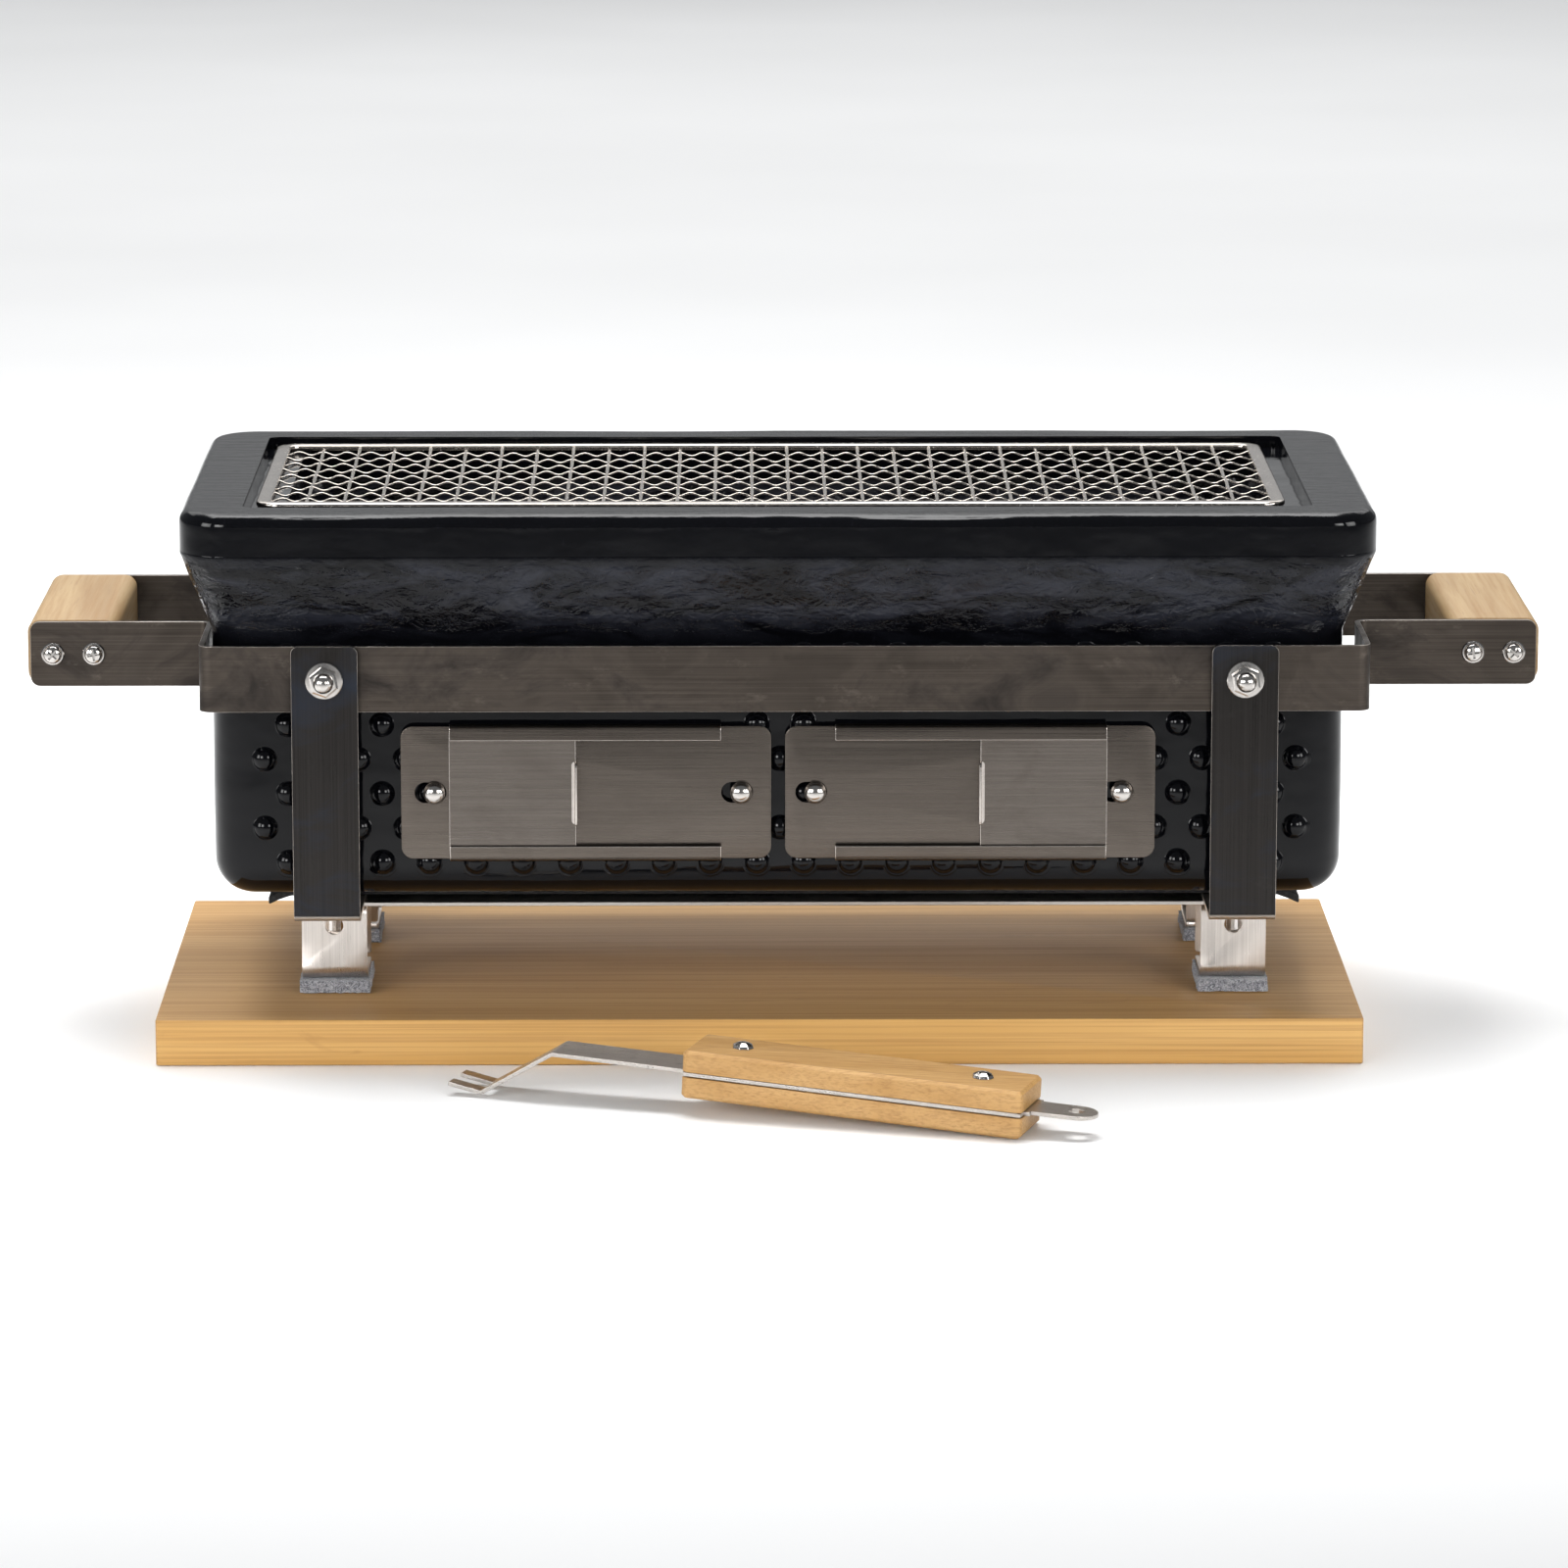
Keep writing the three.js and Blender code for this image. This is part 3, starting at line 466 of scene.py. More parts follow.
def loft_levels(levels, corner_steps=10, side_steps=1):
    """Vertices and faces of a solid through rounded rectangles (z, half_x, half_y, corner), lowest first."""
    vertices, faces = [], []
    for z, half_x, half_y, corner in levels:
        ring = [Vector((x + corner * c, y + corner * s, z))
                for x, y, c, s in corner_arcs(half_x, half_y, corner, corner_steps)]
        for i, start in enumerate(ring):
            end = ring[(i + 1) % len(ring)]
            steps = side_steps if (i + 1) % (corner_steps + 1) == 0 else 1
            vertices += [start.lerp(end, k / steps) for k in range(steps)]
    count = len(vertices) // len(levels)
    for level in range(len(levels) - 1):
        faces += ring_faces(level * count, (level + 1) * count, count)
    faces.append(tuple(reversed(range(count))))
    faces.append(tuple(range(len(vertices) - count, len(vertices))))
    return vertices, faces


def quarter(inset, steps, rising=True):
    """Pairs (inset left, height gained) along a quarter round of that radius."""
    pairs = []
    for step in range(steps + 1):
        angle = step / steps * math.pi / 2
        if rising:
            pairs.append((inset * (1 - math.sin(angle)), inset * (1 - math.cos(angle))))
        else:
            pairs.append((inset * (1 - math.cos(angle)), inset * math.sin(angle)))
    return pairs


def lower_edge(z, half_x, half_y, corner, edge, steps):
    """Levels of a rounded lower edge that starts at height z."""
    return [(z + rise, half_x - inset, half_y - inset, corner - inset)
            for inset, rise in quarter(edge, steps)]


def upper_edge(z, half_x, half_y, corner, edge, steps):
    """Levels of a rounded upper edge that ends at height z."""
    return [(z - edge + rise, half_x - inset, half_y - inset, corner - inset)
            for inset, rise in quarter(edge, steps, rising=False)]


def slab_levels(low, high, *outline):
    """Levels of a slab from height low to high with both edges rounded."""
    return lower_edge(low, *outline) + upper_edge(high, *outline)


def in_mm(*pairs):
    """Profile points (radius, z) given in millimetres."""
    return [(radius * MM, z * MM) for radius, z in pairs]


def turned(name, profile, slot_material, sides=40):
    """Solid of revolution about Z from (radius, z) pairs that start and end on the axis."""
    vertices, faces = [Vector((0, 0, profile[0][1]))], []
    rings = profile[1:-1]
    for radius, z in rings:
        for i in range(sides):
            angle = 2 * math.pi * i / sides
            vertices.append(Vector((radius * math.cos(angle), radius * math.sin(angle), z)))
    vertices.append(Vector((0, 0, profile[-1][1])))
    last = len(vertices) - 1
    for i in range(sides):
        j = (i + 1) % sides
        faces.append((0, 1 + j, 1 + i))
        for ring in range(len(rings) - 1):
            a, b = 1 + ring * sides + i, 1 + ring * sides + j
            faces.append((a, b, b + sides, a + sides))
        top = 1 + (len(rings) - 1) * sides
        faces.append((top + i, top + j, last))
    return new_piece(name, vertices, faces, slot_material)


def rounded_path(corners, radius, steps=8):
    """Points of a 2-D polyline with its corners rounded to a radius."""
    points = [Vector(corners[0])]
    for before, corner, after in zip(corners, corners[1:], corners[2:]):
        before, corner, after = Vector(before), Vector(corner), Vector(after)
        into, away = (corner - before).normalized(), (after - corner).normalized()
        turn = math.atan2(into.x * away.y - into.y * away.x, into.dot(away))
        side = Vector((-into.y, into.x)) * (1 if turn > 0 else -1)
        start = corner - into * radius * math.tan(abs(turn) / 2)
        centre = start + side * radius
        for step in range(steps + 1):
            points.append(centre + Matrix.Rotation(turn * step / steps, 2) @ (start - centre))
    points.append(Vector(corners[-1]))
    return points


def strap(name, corners, width, thickness, inside_radius, place, slot_material, end_radius=0.0, edge=0.00035):
    """Bent flat strap. 'corners' is its centre line in the bend plane, and place(u, v, w) puts a point of the
    bend plane (u, v) at w across the width. Its two ends have rounded corners of end_radius."""
    line = rounded_path(corners, inside_radius + thickness / 2)
    lengths = [0.0]
    for a, b in zip(line, line[1:]):
        lengths.append(lengths[-1] + (b - a).length)
    total = lengths[-1]
    from_end = [0]
    if end_radius:
        end_steps = 6
        from_end = [end_radius * (1 - math.cos(i / end_steps * math.pi / 2)) for i in range(end_steps + 1)]
    stations = [*from_end, *lengths[1:-1], *[total - s for s in reversed(from_end)]]
    vertices, faces = [], []
    for s in stations:
        i = min(max(k for k, length in enumerate(lengths) if length <= s + 1e-9), len(line) - 2)
        along = (line[i + 1] - line[i]).normalized()
        if 0 < i and abs(s - lengths[i]) < 1e-9:
            along = (along + (line[i] - line[i - 1]).normalized()).normalized()
        normal = Vector((-along.y, along.x)) * thickness / 2
        point = line[i] + (line[i + 1] - line[i]).normalized() * (s - lengths[i])
        near = min(s, total - s)
        inset = 0.0
        if end_radius and near < end_radius:
            inset = end_radius - math.sqrt(max(0, end_radius ** 2 - (end_radius - near) ** 2))
        half = width / 2 - inset
        for sign, across in ((1, -half), (1, half), (-1, half), (-1, -half)):
            corner = point + normal * sign
            vertices.append(place(corner.x, corner.y, across))
    for i in range(len(stations) - 1):
        faces += ring_faces(4 * i, 4 * (i + 1), 4)
    faces.append((0, 1, 2, 3))
    faces.append(tuple(reversed(range(len(vertices) - 4, len(vertices)))))
    piece = new_piece(name, vertices, faces, slot_material)
    bevel(piece, edge, 2, 40)
    return piece


# ---- board, felt and mat ----------------------------------------------------------------------------------

def make_board():
    """Bamboo board with slightly rounded corners and edges."""
    low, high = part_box("bamboo_board")
    half_x, half_y = (high.x - low.x) / 2, (high.y - low.y) / 2
    corner, edge = 1.2 * MM, 0.5 * MM
    vertices, faces = loft_levels(slab_levels(low.z, high.z, half_x, half_y, corner, edge, 4), 6)
    shift = Vector(((low.x + high.x) / 2, (low.y + high.y) / 2, 0))
    piece = new_piece("board", [v + shift for v in vertices], faces, material["bamboo"])
    smooth_by_angle(piece, 40)
    finish_piece(piece, "base_board", "bamboo", "bamboo_board")


def make_felt_pad(node):
    """Felt block with fuzzy, slightly uneven faces."""
    low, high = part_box(node)
    piece = new_piece(f"{node}_wool", *box_mesh(low, high), material["felt"])
    mesh = bmesh.new()
    mesh.from_mesh(piece.data)
    bmesh.ops.subdivide_edges(mesh, edges=mesh.edges, cuts=24, use_grid_fill=True)
    for vertex in mesh.verts:
        fuzz = noise.noise_vector(vertex.co * 1500) * 0.25 * MM
        uneven = noise.noise_vector(vertex.co * 320) * 0.35 * MM
        vertex.co += fuzz + uneven
        vertex.co.z = min(max(vertex.co.z, low.z), high.z)
    mesh.to_mesh(piece.data)
    mesh.free()
    finish_piece(piece, "cradle", "felt", node)


def box_mesh(low, high):
    """Vertices and faces of a box between two corners."""
    xs, ys, zs = zip(low, high)
    vertices = [Vector((x, y, z)) for z in zs for y in ys for x in xs]
    faces = [(0, 2, 3, 1), (4, 5, 7, 6), (0, 1, 5, 4), (2, 6, 7, 3), (0, 4, 6, 2), (1, 3, 7, 5)]
    return vertices, faces


def make_mat():
    """Soft mat: flat between cradle and firebox, its two ends drooping and a little curled."""
    low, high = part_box("cushion_mat")
    thickness, droop, curl = 3.4 * MM, 4.2 * MM, 1.2 * MM
    droop_starts = 186 * MM
    top = high.z
    columns, rows = 96, 24
    vertices, faces = [], []
    for layer in (0, 1):
        for i in range(columns + 1):
            x = low.x + (high.x - low.x) * i / columns
            over = max(0.0, abs(x) - droop_starts) / (high.x - droop_starts)
            for j in range(rows + 1):
                y = low.y + (high.y - low.y) * j / rows
                wave = noise.noise(Vector((x * 40, y * 60, 2))) * curl * over
                z = top - thickness * layer - droop * over ** 1.3 + wave
                vertices.append(Vector((x, y, min(z, top) if layer == 0 else max(z, low.z))))
    per_layer = (columns + 1) * (rows + 1)

    def at(layer, i, j):
        return layer * per_layer + i * (rows + 1) + j

    for i in range(columns):
        for j in range(rows):
            faces.append((at(0, i, j), at(0, i + 1, j), at(0, i + 1, j + 1), at(0, i, j + 1)))
            faces.append((at(1, i, j), at(1, i, j + 1), at(1, i + 1, j + 1), at(1, i + 1, j)))
        for j in (0, rows):
            faces.append((at(0, i, j), at(0, i + 1, j), at(1, i + 1, j), at(1, i, j)))
    for j in range(rows):
        for i in (0, columns):
            faces.append((at(0, i, j), at(0, i, j + 1), at(1, i, j + 1), at(1, i, j)))
    piece = new_piece("soft_mat", vertices, faces, material["black_mat"])
    bevel(piece, 0.8 * MM, 2, 50)
    finish_piece(piece, "cradle", "black_mat", "cushion_mat")


# ---- cradle -----------------------------------------------------------------------------------------------

def make_band_strap(face, sign):
    """Band and handle arms in one strap, with rounded ends."""
    node = f"{face}_band_strap"
    low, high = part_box(node)
    band_y = (low.y if sign < 0 else high.y) - sign * STRAP / 2
    arm_y = (high.y if sign < 0 else low.y) + sign * STRAP / 2
    end = high.x
    jog = 220 * MM - STRAP / 2
    route = [(-end, arm_y), (-jog, arm_y), (-jog, band_y), (jog, band_y), (jog, arm_y), (end, arm_y)]
    middle = (low.z + high.z) / 2
    piece = strap(f"{face}_band_and_arms", route, high.z - low.z, STRAP, 3 * MM,
                  lambda u, v, w: Vector((u, v, middle + w)), material["strap_steel"],
                  end_radius=3.5 * MM, edge=0.4 * MM)
    # The rounded edges get the brighter steel: a painted highlight.
    paint_edge_highlight(piece, material["edge_highlight_steel"])
    finish_piece(piece, "cradle", "strap_steel", node)


def make_leg_strap(side):
    """Strap down the front, under the firebox and up the back."""
    node = f"{side}_leg_strap"
    low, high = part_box(node)
    y, z = high.y - STRAP / 2, low.z + STRAP / 2
    middle = (low.x + high.x) / 2
    route = [(-y, high.z), (-y, z), (y, z), (y, high.z)]
    piece = strap(f"{side}_leg_u_strap", route, high.x - low.x, STRAP, 2 * MM,
                  lambda u, v, w: Vector((middle + w, u, v)), material["leg_steel"],
                  end_radius=3 * MM, edge=0.35 * MM)
    # The rounded edges get the brighter steel: a painted highlight.
    paint_edge_highlight(piece, material["edge_highlight_steel"])
    finish_piece(piece, "cradle", "leg_steel", node)


def make_foot(face, side, sign):
    """Open strap loop with a round hole in its outer wall."""
    node = f"{face}_{side}_foot"
    low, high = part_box(node)
    outer = (low.y if sign < 0 else high.y) - sign * STRAP / 2
    inner = (high.y if sign < 0 else low.y) + sign * STRAP / 2
    top, bottom = high.z - STRAP / 2, low.z + STRAP / 2
    middle = (low.x + high.x) / 2
    inner_end, bottom_end = low.z + 3.3 * MM, inner + sign * 1.5 * MM
    route = [(inner, inner_end), (inner, top), (outer, top), (outer, bottom), (bottom_end, bottom)]
    hole_radius, hole_height, reach = 3.5 * MM, 44.2 * MM, 4 * MM
    piece = strap(f"{node}_loop", route, high.x - low.x, STRAP, 3.6 * MM,
                  lambda u, v, w: Vector((middle + w, u, v)), material["foot_steel"], end_radius=1 * MM)
    apply_modifiers(piece)
    hole = turned("hole_cutter", [(0, -reach), (hole_radius, -reach), (hole_radius, reach), (0, reach)],
                  material["foot_steel"], 32)
    hole.rotation_euler.x = math.pi / 2
    hole.location = (middle, outer, hole_height)
    carve(piece, [hole])
    smooth_by_angle(piece, 40)
    finish_piece(piece, "cradle", "bright_steel", node)


def make_grip(side):
    """Wooden block with generously rounded long edges."""
    node = f"{side}_grip"
    low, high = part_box(node)
    half_x, half_z = (high.x - low.x) / 2, (high.z - low.z) / 2
    half_length = (high.y - low.y) / 2
    corner, edge = 5 * MM, 0.8 * MM
    vertices, faces = loft_levels(slab_levels(-half_length, half_length, half_x, half_z, corner, edge, 3), 8)
    middle = (low + high) / 2
    piece = new_piece(f"{side}_wooden_grip", [middle + Vector((v.x, v.z, v.y)) for v in vertices], faces,
                      material["grip_wood"])
    smooth_by_angle(piece, 40)
    finish_piece(piece, "cradle", "grip_wood", node)


# ---- fasteners --------------------------------------------------------------------------------------------

def seat_fastener(piece, node, y, sign):
    """Turns a fastener made about +Z so that its head faces along Y by sign, in its node's middle at Y."""
    low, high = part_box(node)
    piece.rotation_euler.x = -sign * math.pi / 2
    piece.location = ((low.x + high.x) / 2, y, (low.z + high.z) / 2)


def pan_head_screw(name, turn):
    """Pan head with a cross recess, on a cup washer, and its shank."""
    washer = in_mm((0, -14), (2, -14), (2, 0), (4.4, 0), (4.4, 0.35), (4.0, 0.75), (3.6, 0.8), (3.35, 0.55),
                   (3.3, 1.3))
    dome = [(3.3 * MM * math.cos(a), (1.3 + 1.5 * math.sin(a)) * MM) for a in
            (i / 8 * math.pi / 2 for i in range(1, 8))]
    screw = turned(name, [*washer, *dome, (0, 2.8 * MM)], material["fastener"], 36)
    cutters = []
    for angle in (0, math.pi / 2):
        vertices, faces = box_mesh(Vector((-2.2, -0.42, 1.3)) * MM, Vector((2.2, 0.42, 4)) * MM)
        cutter = new_piece("cross_cutter", vertices, faces, material["fastener"], smooth=False)
        cutter.rotation_euler.z = angle + turn
        cutters.append(cutter)
    carve(screw, cutters)
    smooth_by_angle(screw, 32)
    return screw


def make_grip_screws(face, face_sign, side):
    """The two screws that hold a grip to one of its arms, each turned a little differently."""
    for number in (1, 2):
        node = f"{face}_{side}_grip_screw_{number}"
        screw = pan_head_screw(f"{node}_cross_head", 0.35 + 0.9 * number + 0.4 * face_sign)
        seat_fastener(screw, node, arm_outer_y(face, face_sign), face_sign)
        finish_piece(screw, "cradle", "fastener", node)


def arm_outer_y(face, face_sign):
    """Y just clear of the outer face of that strap's handle arms."""
    low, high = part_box(f"{face}_band_strap")
    return (high.y if face_sign < 0 else low.y) + face_sign * (STRAP + 0.05 * MM)


def make_cap_nut(face, face_sign, side, turn):
    """Flanged hexagon cap nut."""
    node = f"{face}_{side}_leg_cap_nut"
    low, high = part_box(node)
    flange_and_dome = in_mm((0, 0), (6.6, 0), (7, 0.3), (7, 0.8), (6.7, 1.1), (5.6, 1.2), (3.9, 1.4),
                            (3.9, 5.6), (3.8, 6.5), (3.4, 7.6), (2.7, 8.5), (1.8, 9.1), (0.9, 9.35), (0, 9.4))
    wrench_flats = in_mm((0, 0.8), (5.6, 0.8), (5.77, 1.1), (5.77, 4.9), (5.0, 5.5), (3.6, 5.7), (0, 5.7))
    flange = turned(f"{node}_dome", flange_and_dome, material["fastener"], 48)
    hexagon = turned("hexagon", wrench_flats, material["fastener"], 6)
    smooth_by_angle(flange, 35)
    smooth_by_angle(hexagon, 25)
    with bpy.context.temp_override(active_object=flange, selected_editable_objects=[flange, hexagon]):
        bpy.ops.object.join()
    flange.data.transform(Matrix.Rotation(turn, 4, "Z"))
    seat_fastener(flange, node, high.y if face_sign < 0 else low.y, face_sign)
    finish_piece(flange, "cradle", "fastener", node)


def make_vent_screw(node):
    """Domed screw head on a small round collar."""
    head_height = 4 * MM
    profile = in_mm((0, -12), (2, -12), (2, 0.2), (3.9, 0.2), (4.2, 0.5), (4.2, 1.4), (3.8, 1.9))
    profile += [(3.6 * MM * math.cos(a), (2.2 + 2.0 * math.sin(a)) * MM) for a in
                (i / 9 * math.pi / 2 for i in range(0, 9))]
    screw = turned(f"{node}_dome", [*profile, (0, 4.2 * MM)], material["fastener"], 40)
    smooth_by_angle(screw, 40)
    seat_fastener(screw, node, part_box(node)[0].y + head_height, -1)
    finish_piece(screw, "firebox", "fastener", node)


# ---- air vents --------------------------------------------------------------------------------------------

def upright(vertices, centre):
    """Turns a solid made about Z so that its Z runs along -Y, and moves it to a centre."""
    return [Vector((centre.x + v.x, centre.y - v.z, centre.z + v.y)) for v in vertices]


def make_vent_plate(side, sign):
    """Sheet with a window, two screw slots, and a folded rail along its top and bottom."""
    node = f"{side}_vent_plate"
    low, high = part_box(node)
    thick = 1 * MM
    middle = Vector(((low.x + high.x) / 2, high.y, (low.z + high.z) / 2))
    half_x, half_z = (high.x - low.x) / 2, (high.z - low.z) / 2
    corner, edge = 4.7 * MM, 0.25 * MM
    vertices, faces = loft_levels(slab_levels(0, thick, half_x, half_z, corner, edge, 3), 8)
    sheet = new_piece(f"{side}_vent_sheet", upright(vertices, middle), faces, material["plate_steel"])
    cutters = []
    # x of the middle, half width, half height and corner radius of the window and of the two screw slots
    openings = [(FIREBOX_X + sign * VENT_OFFSET, 18 * MM, 13 * MM, 2 * MM)]
    openings += [(FIREBOX_X + sign * x - 1.5 * MM, 6 * MM, 4 * MM, 3.9 * MM) for x in (14 * MM, 129.7 * MM)]
    for x, hole_x, hole_z, corner in openings:
        levels = [(z, hole_x, hole_z, corner) for z in (-2 * MM, 3 * MM)]
        vertices, faces = loft_levels(levels, 8)
        centre = Vector((x, high.y, middle.z))
        cutters.append(new_piece("slot_cutter", upright(vertices, centre), faces, material["plate_steel"]))
    carve(sheet, cutters)
    smooth_by_angle(sheet, 40)
    rail_length, rail_depth, rail_rise = 102.5 * MM, 5.2 * MM, 0.3 * MM
    rail_x = FIREBOX_X + sign * 72.75 * MM
    for name, up in (("top", 1), ("bottom", -1)):
        fold = middle.z + up * (half_z + rail_rise)
        tip = middle.z + up * (half_z - rail_depth)
        front = low.y + 0.5 * MM
        route = [(high.y - 0.1 * MM, fold), (front, fold), (front - 0.25 * MM, tip)]
        rail = strap(f"{side}_{name}_rail", route, rail_length, thick, 1.1 * MM,
                     lambda u, v, w: Vector((rail_x + w, u, v)), material["plate_steel"], edge=0.28 * MM)
        # The rail's fold and rounded edges get the brighter steel: a painted highlight.
        paint_edge_highlight(rail, material["fold_highlight_steel"])
        finish_piece(rail, "firebox", "vent_steel")
    finish_piece(sheet, "firebox", "vent_steel", node)


def make_vent_door(side, sign):
    """Sliding sheet whose inner edge turns outward as a finger tab."""
    node = f"{side}_vent_door"
    low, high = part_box(node)
    thick = 0.8 * MM
    outer, inner = (low.x, high.x) if sign < 0 else (high.x, low.x)
    middle_z, back = (low.z + high.z) / 2, high.y
    edge = inner + sign * 0.5 * MM
    corners = (Vector((min(outer, edge), back - thick, low.z)), Vector((max(outer, edge), back, high.z)))
    sheet = new_piece(f"{side}_door_sheet", *box_mesh(*corners), material["door_steel"])
    bevel(sheet, 0.25 * MM, 2)
    # The door's rounded edges get the brighter steel: a painted highlight.
    paint_edge_highlight(sheet, material["fold_highlight_steel"])
    bend_x, bend_y = inner + sign * thick / 2, back - thick / 2 - 0.02 * MM
    route = [(inner + sign * 2.2 * MM, bend_y), (bend_x, bend_y), (bend_x, low.y)]
    # The whole tab is in the brighter steel: a painted highlight along its bend.
    tab = strap(f"{side}_door_tab", route, 24 * MM, thick, 0.9 * MM,
                lambda u, v, w: Vector((u, v, middle_z + w)), material["fold_highlight_steel"], 1.5 * MM, 0.15 * MM)
    finish_piece(sheet, node, "vent_steel", node)
    finish_piece(tab, node, "vent_steel")


# ---- firebox ----------------------------------------------------------------------------------------------

def make_firebox():
    """Glazed ceramic body: rounded foot, upright wall, flare, lip, the hollow inside and the vent holes."""
    low, high = firebox_low, firebox_high
    lip_x, lip_y, top = (high.x - low.x) / 2, (high.y - low.y) / 2, high.z
    wall_x, wall_y = lip_x - 11.3 * MM, lip_y - 12 * MM
    foot_round, wall_corner, lip_corner = 14 * MM, 16 * MM, 19 * MM
    wall_top, lip_bottom, rounding = 163.5 * MM, 194.7 * MM, 5 * MM
    levels = [(low.z + rise, wall_x - inset, wall_y - inset, max(wall_corner - inset, 3 * MM))
              for inset, rise in quarter(foot_round, 12)]
    levels += [(z * MM, wall_x, wall_y, wall_corner) for z in (90, 105, 120, 135, 150, 158)]
    steps = 16
    for step in range(steps + 1):
        t = step / steps
        levels.append((wall_top + (lip_bottom - wall_top) * t, wall_x + (lip_x - wall_x) * t,
                       wall_y + (lip_y - wall_y) * t, wall_corner + (lip_corner - wall_corner) * t))
    levels += [(z * MM, lip_x, lip_y, lip_corner) for z in (195.6, 199, 203)]
    levels += upper_edge(top, lip_x, lip_y, lip_corner, rounding, 10)
    vertices, faces = loft_levels(levels, 12, 90)
    moved = []
    for v in vertices:
        lumpy = 1 if wall_top + 2 * MM < v.z < lip_bottom - 2 * MM else 0.15
        outward = Vector((v.x, v.y, 0)).normalized()
        wave = noise.noise(v * 14) * 0.5 * MM + noise.noise(v * 70) * 0.35 * MM * lumpy
        rim = noise.noise(Vector((v.x * 9, v.y * 9, 4))) * 0.7 * MM if v.z > top - 1.5 * MM else 0
        moved.append(v + outward * min(wave, 0.3 * MM) + Vector((FIREBOX_X, 0, min(rim, 0.0))))
    body = new_piece("ceramic_body", moved, faces, material["glaze"])
    carve(body, firebox_cutters(top))
    smooth_by_angle(body, 38)
    hobnails = make_hobnails(wall_y)
    finish_piece(body, "firebox", "glaze", "firebox")
    finish_piece(hobnails, "firebox", "glaze")


def firebox_cutters(top):
    """The mouth's shelf, the cavity and the two vent holes, as solids to cut away."""
    def hollow(name, half_x, half_y, corner, bottom, upper, foot_round=0.0):
        """A rounded box to cut away, its foot rounded where foot_round is given."""
        levels = [(bottom, half_x, half_y, corner)]
        if foot_round:
            levels = lower_edge(bottom, half_x, half_y, corner, foot_round, 5)
        levels.append((upper, half_x, half_y, corner))
        vertices, faces = loft_levels(levels, 10)
        return new_piece(name, [v + Vector((FIREBOX_X, 0, 0)) for v in vertices], faces, material["glaze"])

    cutters = [
        hollow("mouth_cutter", 201.5 * MM, 86 * MM, 4 * MM, top - 4.8 * MM, top + 5 * MM),
        hollow("cavity_cutter", 187 * MM, 78 * MM, 8 * MM, 77 * MM, top + 2 * MM, 5 * MM),
    ]
    half_x, half_z = 19 * MM, 14 * MM
    for _, sign in SIDES:
        x = FIREBOX_X + sign * VENT_OFFSET
        low = Vector((x - half_x, -100 * MM, VENT_HEIGHT - half_z))
        high = Vector((x + half_x, -50 * MM, VENT_HEIGHT + half_z))
        cutters.append(new_piece("vent_cutter", *box_mesh(low, high), material["glaze"], smooth=False))
    return cutters


def hobnail_rings():
    """(radius, height) pairs of one bump from its middle outward: a dome, then a fillet into the wall."""
    radius, rise, fillet = 4.2 * MM, 2.1 * MM, 1.8 * MM
    dome_foot, fillet_drop = 0.75 * MM, 0.95 * MM
    cap, leave = math.radians(60), math.radians(30)
    dome_steps, fillet_steps = 10, 8
    rings = []
    for i in range(dome_steps + 1):
        angle = i / dome_steps * cap
        share = (math.cos(angle) - math.cos(cap)) / (1 - math.cos(cap))
        rings.append((radius * math.sin(angle) / math.sin(cap), dome_foot + rise * share))
    for i in range(1, fillet_steps + 1):
        angle = leave + i / fillet_steps * (math.pi / 2 - leave)
        out = (math.cos(leave) - math.cos(angle)) / math.cos(leave)
        down = (math.sin(angle) - math.sin(leave)) / (1 - math.sin(leave))
        rings.append((radius + fillet * out, dome_foot - fillet_drop * down))
    return rings


def add_hobnail(vertices, faces, centre, sign, rings, sides=28):
    """Adds one closed bump that stands out from a wall along Y by sign."""
    start = len(vertices)
    vertices.append(centre + Vector((0, sign * rings[0][1], 0)))
    for radius, height in rings[1:]:
        for k in range(sides):
            angle = 2 * math.pi * k / sides
            across, up = radius * math.cos(angle), radius * math.sin(angle)
            vertices.append(centre + Vector((across, sign * height, up)))
    for k in range(sides):
        n = (k + 1) % sides
        faces.append((start, start + 1 + k, start + 1 + n))
        for ring in range(len(rings) - 2):
            a = start + 1 + ring * sides
            faces.append((a + k, a + sides + k, a + sides + n, a + n))
    back = start + 1 + (len(rings) - 2) * sides
    faces.append(tuple(back + k for k in range(sides)))


def make_hobnails(wall_y):
    """Staggered rows of glazed bumps on the front and rear walls."""
    pitch, row_step, first_row, rows = 17.7 * MM, 13.25 * MM, 76.3 * MM, 7
    middle_x = FIREBOX_X + 0.8 * MM
    rings = hobnail_rings()
    vertices, faces = [], []
    for sign in (-1, 1):
        for row in range(rows):
            z = first_row + row * row_step
            offset, reach = (0.5, 187 * MM) if row % 2 == 0 else (0.0, 196 * MM)
            for column in range(-11, 12):
                x = (column + offset) * pitch
                if abs(x) > reach or (sign < 0 and blocked_by_vent(x, z)):
                    continue
                add_hobnail(vertices, faces, Vector((middle_x + x, sign * wall_y, z)), sign, rings)
    return new_piece("glazed_hobnails", vertices, faces, material["glaze"])


def blocked_by_vent(x, z):
    """True where a vent hole goes through the wall, and in the plain strip above the vent plates."""
    plain_strip = 129.3 * MM
    in_hole = abs(abs(x) - VENT_OFFSET) < 24 * MM and abs(z - VENT_HEIGHT) < 18 * MM
    above_plate = 20 * MM < abs(x) < 142 * MM and abs(z - plain_strip) < 4 * MM
    return in_hole or above_plate


# ---- cooking grate ----------------------------------------------------------------------------------------

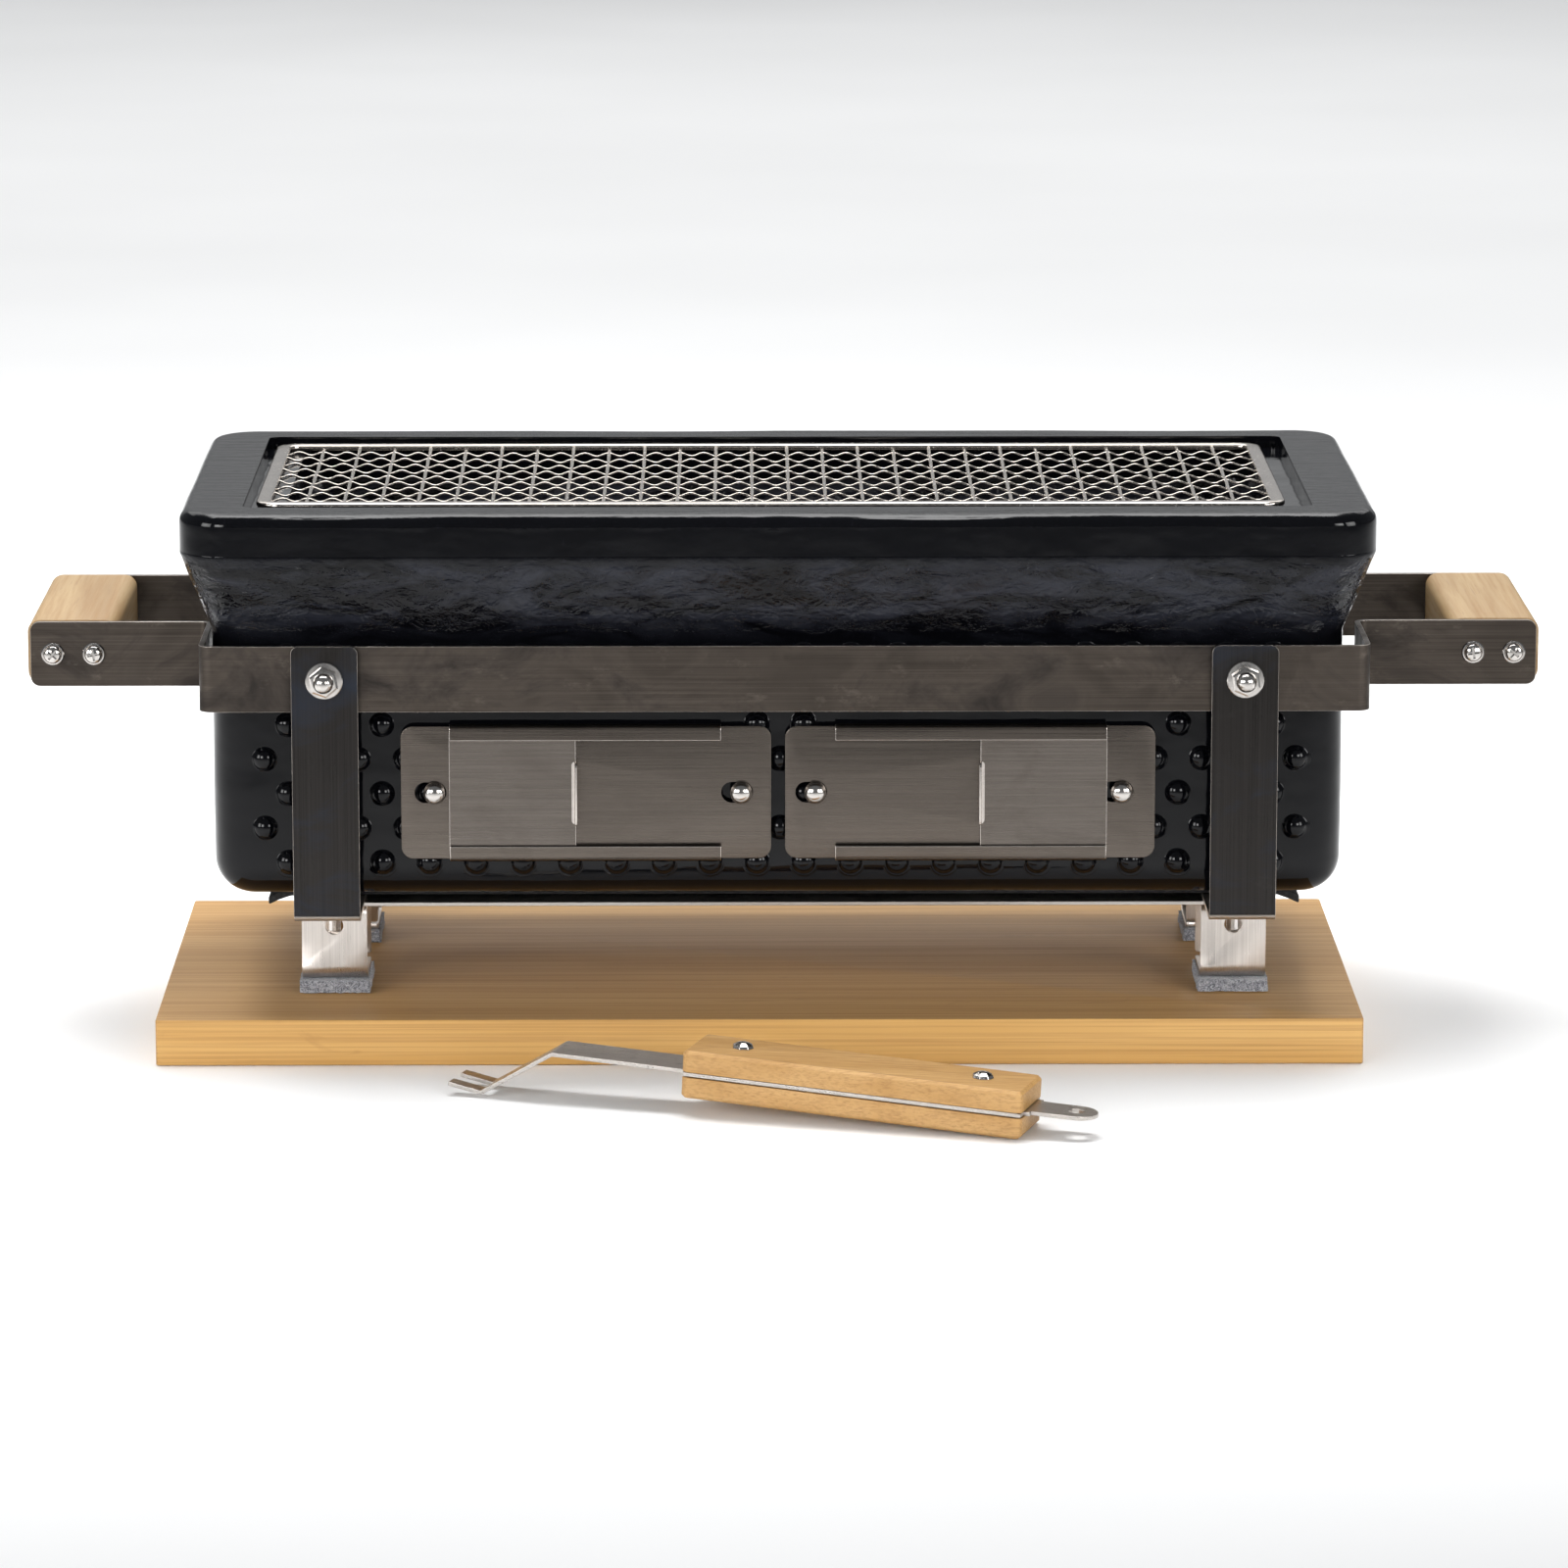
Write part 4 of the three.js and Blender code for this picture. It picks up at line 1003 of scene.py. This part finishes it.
def tube(name, lines, radius, slot_material, resolution=3):
    """Round wires along lists of points, as one piece."""
    curve = bpy.data.curves.new(name, "CURVE")
    curve.dimensions = "3D"
    curve.bevel_depth = radius
    curve.bevel_resolution = resolution
    curve.use_fill_caps = True
    for points in lines:
        spline = curve.splines.new("POLY")
        spline.points.add(len(points) - 1)
        spline.points.foreach_set("co", [c for p in points for c in (*p, 1.0)])
        spline.use_smooth = True
    curve.materials.append(slot_material)
    piece = bpy.data.objects.new(name, curve)
    bpy.context.scene.collection.objects.link(piece)
    return piece


def make_grate_mesh():
    """Intercrimped wires: thin waved wires along X pass over and under stouter wires along Y."""
    low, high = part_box("grate_mesh")
    columns, rows = 27, 10
    pitch_x = (high.x - low.x) / columns
    pitch_y = (high.y - low.y) / rows
    middle = (low.z + high.z) / 2 - 0.1 * MM
    stout, thin = 0.75 * MM, 0.38 * MM
    wave, stout_wave, wander, droop = 0.66 * MM, 0.35 * MM, 0.4 * MM, 1.1 * MM
    periods, steps_x, steps_y = 1.5, columns * 12, rows * 8

    def sag(x, y):
        """Height by which the mesh hangs below its frame here, with small unevenness."""
        u = (x - low.x) / (high.x - low.x) * 2 - 1
        v = (y - low.y) / (high.y - low.y) * 2 - 1
        uneven = noise.noise(Vector((x * 12, y * 12, 1))) * 0.35 * MM
        return -droop * (1 - u ** 4) * (1 - v ** 2) + uneven

    along_y, along_x = [], []
    for column in range(1, columns):
        x = low.x + column * pitch_x
        points = []
        for step in range(steps_y + 1):
            y = low.y + (high.y - low.y) * step / steps_y
            phase = (y - low.y) / pitch_y * math.pi + column * math.pi
            points.append((x + noise.noise(Vector((x * 20, y * 9, 7))) * wander, y,
                           middle + sag(x, y) + stout_wave * math.cos(phase)))
        along_y.append(points)
    for row in range(1, rows):
        y = low.y + row * pitch_y
        points = []
        for step in range(steps_x + 1):
            x = low.x + (high.x - low.x) * step / steps_x
            phase = (x - low.x) / pitch_x * 2 * math.pi * periods + row * math.pi
            points.append((x, y + noise.noise(Vector((x * 9, y * 20, 5))) * wander,
                           middle + sag(x, y) + wave * math.cos(phase)))
        along_x.append(points)
    stout_wires = tube("grate_wires_along_y", along_y, stout, material["grate_wire"])
    thin_wires = tube("grate_wires_along_x", along_x, thin, material["grate_wire"])
    finish_piece(stout_wires, "cooking_grate", "grate_wire", "grate_mesh")
    finish_piece(thin_wires, "cooking_grate", "grate_wire")


def make_grate_frame():
    """Flattened bar bent into a rounded rectangle."""
    low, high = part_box("grate_frame")
    half_x, half_y = (high.x - low.x) / 2, (high.y - low.y) / 2
    centre = (low + high) / 2
    bar, tall, corner = 5.6 * MM, high.z - low.z, 9 * MM
    corner_steps, section_steps, squareness = 12, 20, 0.6
    radius = corner - bar / 2
    path = [(Vector((x + radius * c, y + radius * s, 0)), Vector((c, s, 0)))
            for x, y, c, s in corner_arcs(half_x, half_y, corner, corner_steps)]
    section = []
    for k in range(section_steps):
        angle = 2 * math.pi * k / section_steps
        c, s = math.cos(angle), math.sin(angle)
        section.append((bar / 2 * math.copysign(abs(c) ** squareness, c),
                        tall / 2 * math.copysign(abs(s) ** squareness, s)))
    vertices, faces = [], []
    for point, outward in path:
        vertices += [centre + point + outward * a + Vector((0, 0, b)) for a, b in section]
    count = len(section)
    for i in range(len(path)):
        faces += ring_faces(i * count, (i + 1) % len(path) * count, count)
    piece = new_piece("grate_bar_frame", vertices, faces, material["grate_wire"])
    finish_piece(piece, "cooking_grate", "grate_wire", "grate_frame")


# ---- everything -------------------------------------------------------------------------------------------

def make_floor():
    """Pale floor slab, its top a hair below the board."""
    half, thickness, gap = 6, 20 * MM, 0.2 * MM
    vertices, faces = box_mesh(Vector((-half, -half, -thickness)), Vector((half, half, -gap)))
    floor = new_piece("floor", vertices, faces, floor_material(), smooth=False)


make_camera()
make_studio()
make_floor()
make_board()
make_mat()
for face, face_sign in FACES:
    make_band_strap(face, face_sign)
    for side, side_sign in SIDES:
        make_felt_pad(f"{face}_{side}_felt_pad")
        make_foot(face, side, face_sign)
        make_grip_screws(face, face_sign, side)
        make_cap_nut(face, face_sign, side, 0.35 + 0.5 * side_sign + 0.2 * face_sign)
        for part in ("leg_bolt", "foot_bolt", "foot_nut"):
            dress(f"{face}_{side}_{part}", material["fastener"], 0.2 * MM)
for side, side_sign in SIDES:
    make_leg_strap(side)
    make_grip(side)
    make_vent_plate(side, side_sign)
    make_vent_door(side, side_sign)
    for number in (1, 2):
        make_vent_screw(f"{side}_vent_cap_screw_{number}")
dress("base_plate", material["bright_steel"], 0.3 * MM)
dress("charcoal_grate", material["coal_grate"], 0.3 * MM)
dress("lifter_blade", material["bright_steel"], 0.2 * MM)
for node in ("lifter_upper_scale", "lifter_lower_scale"):
    dress(node, material["lifter_bamboo"], 0.8 * MM, 3)
for number in (1, 2):
    dress(f"lifter_rivet_{number}", material["fastener"], 0.2 * MM)
make_firebox()
make_grate_frame()
make_grate_mesh()
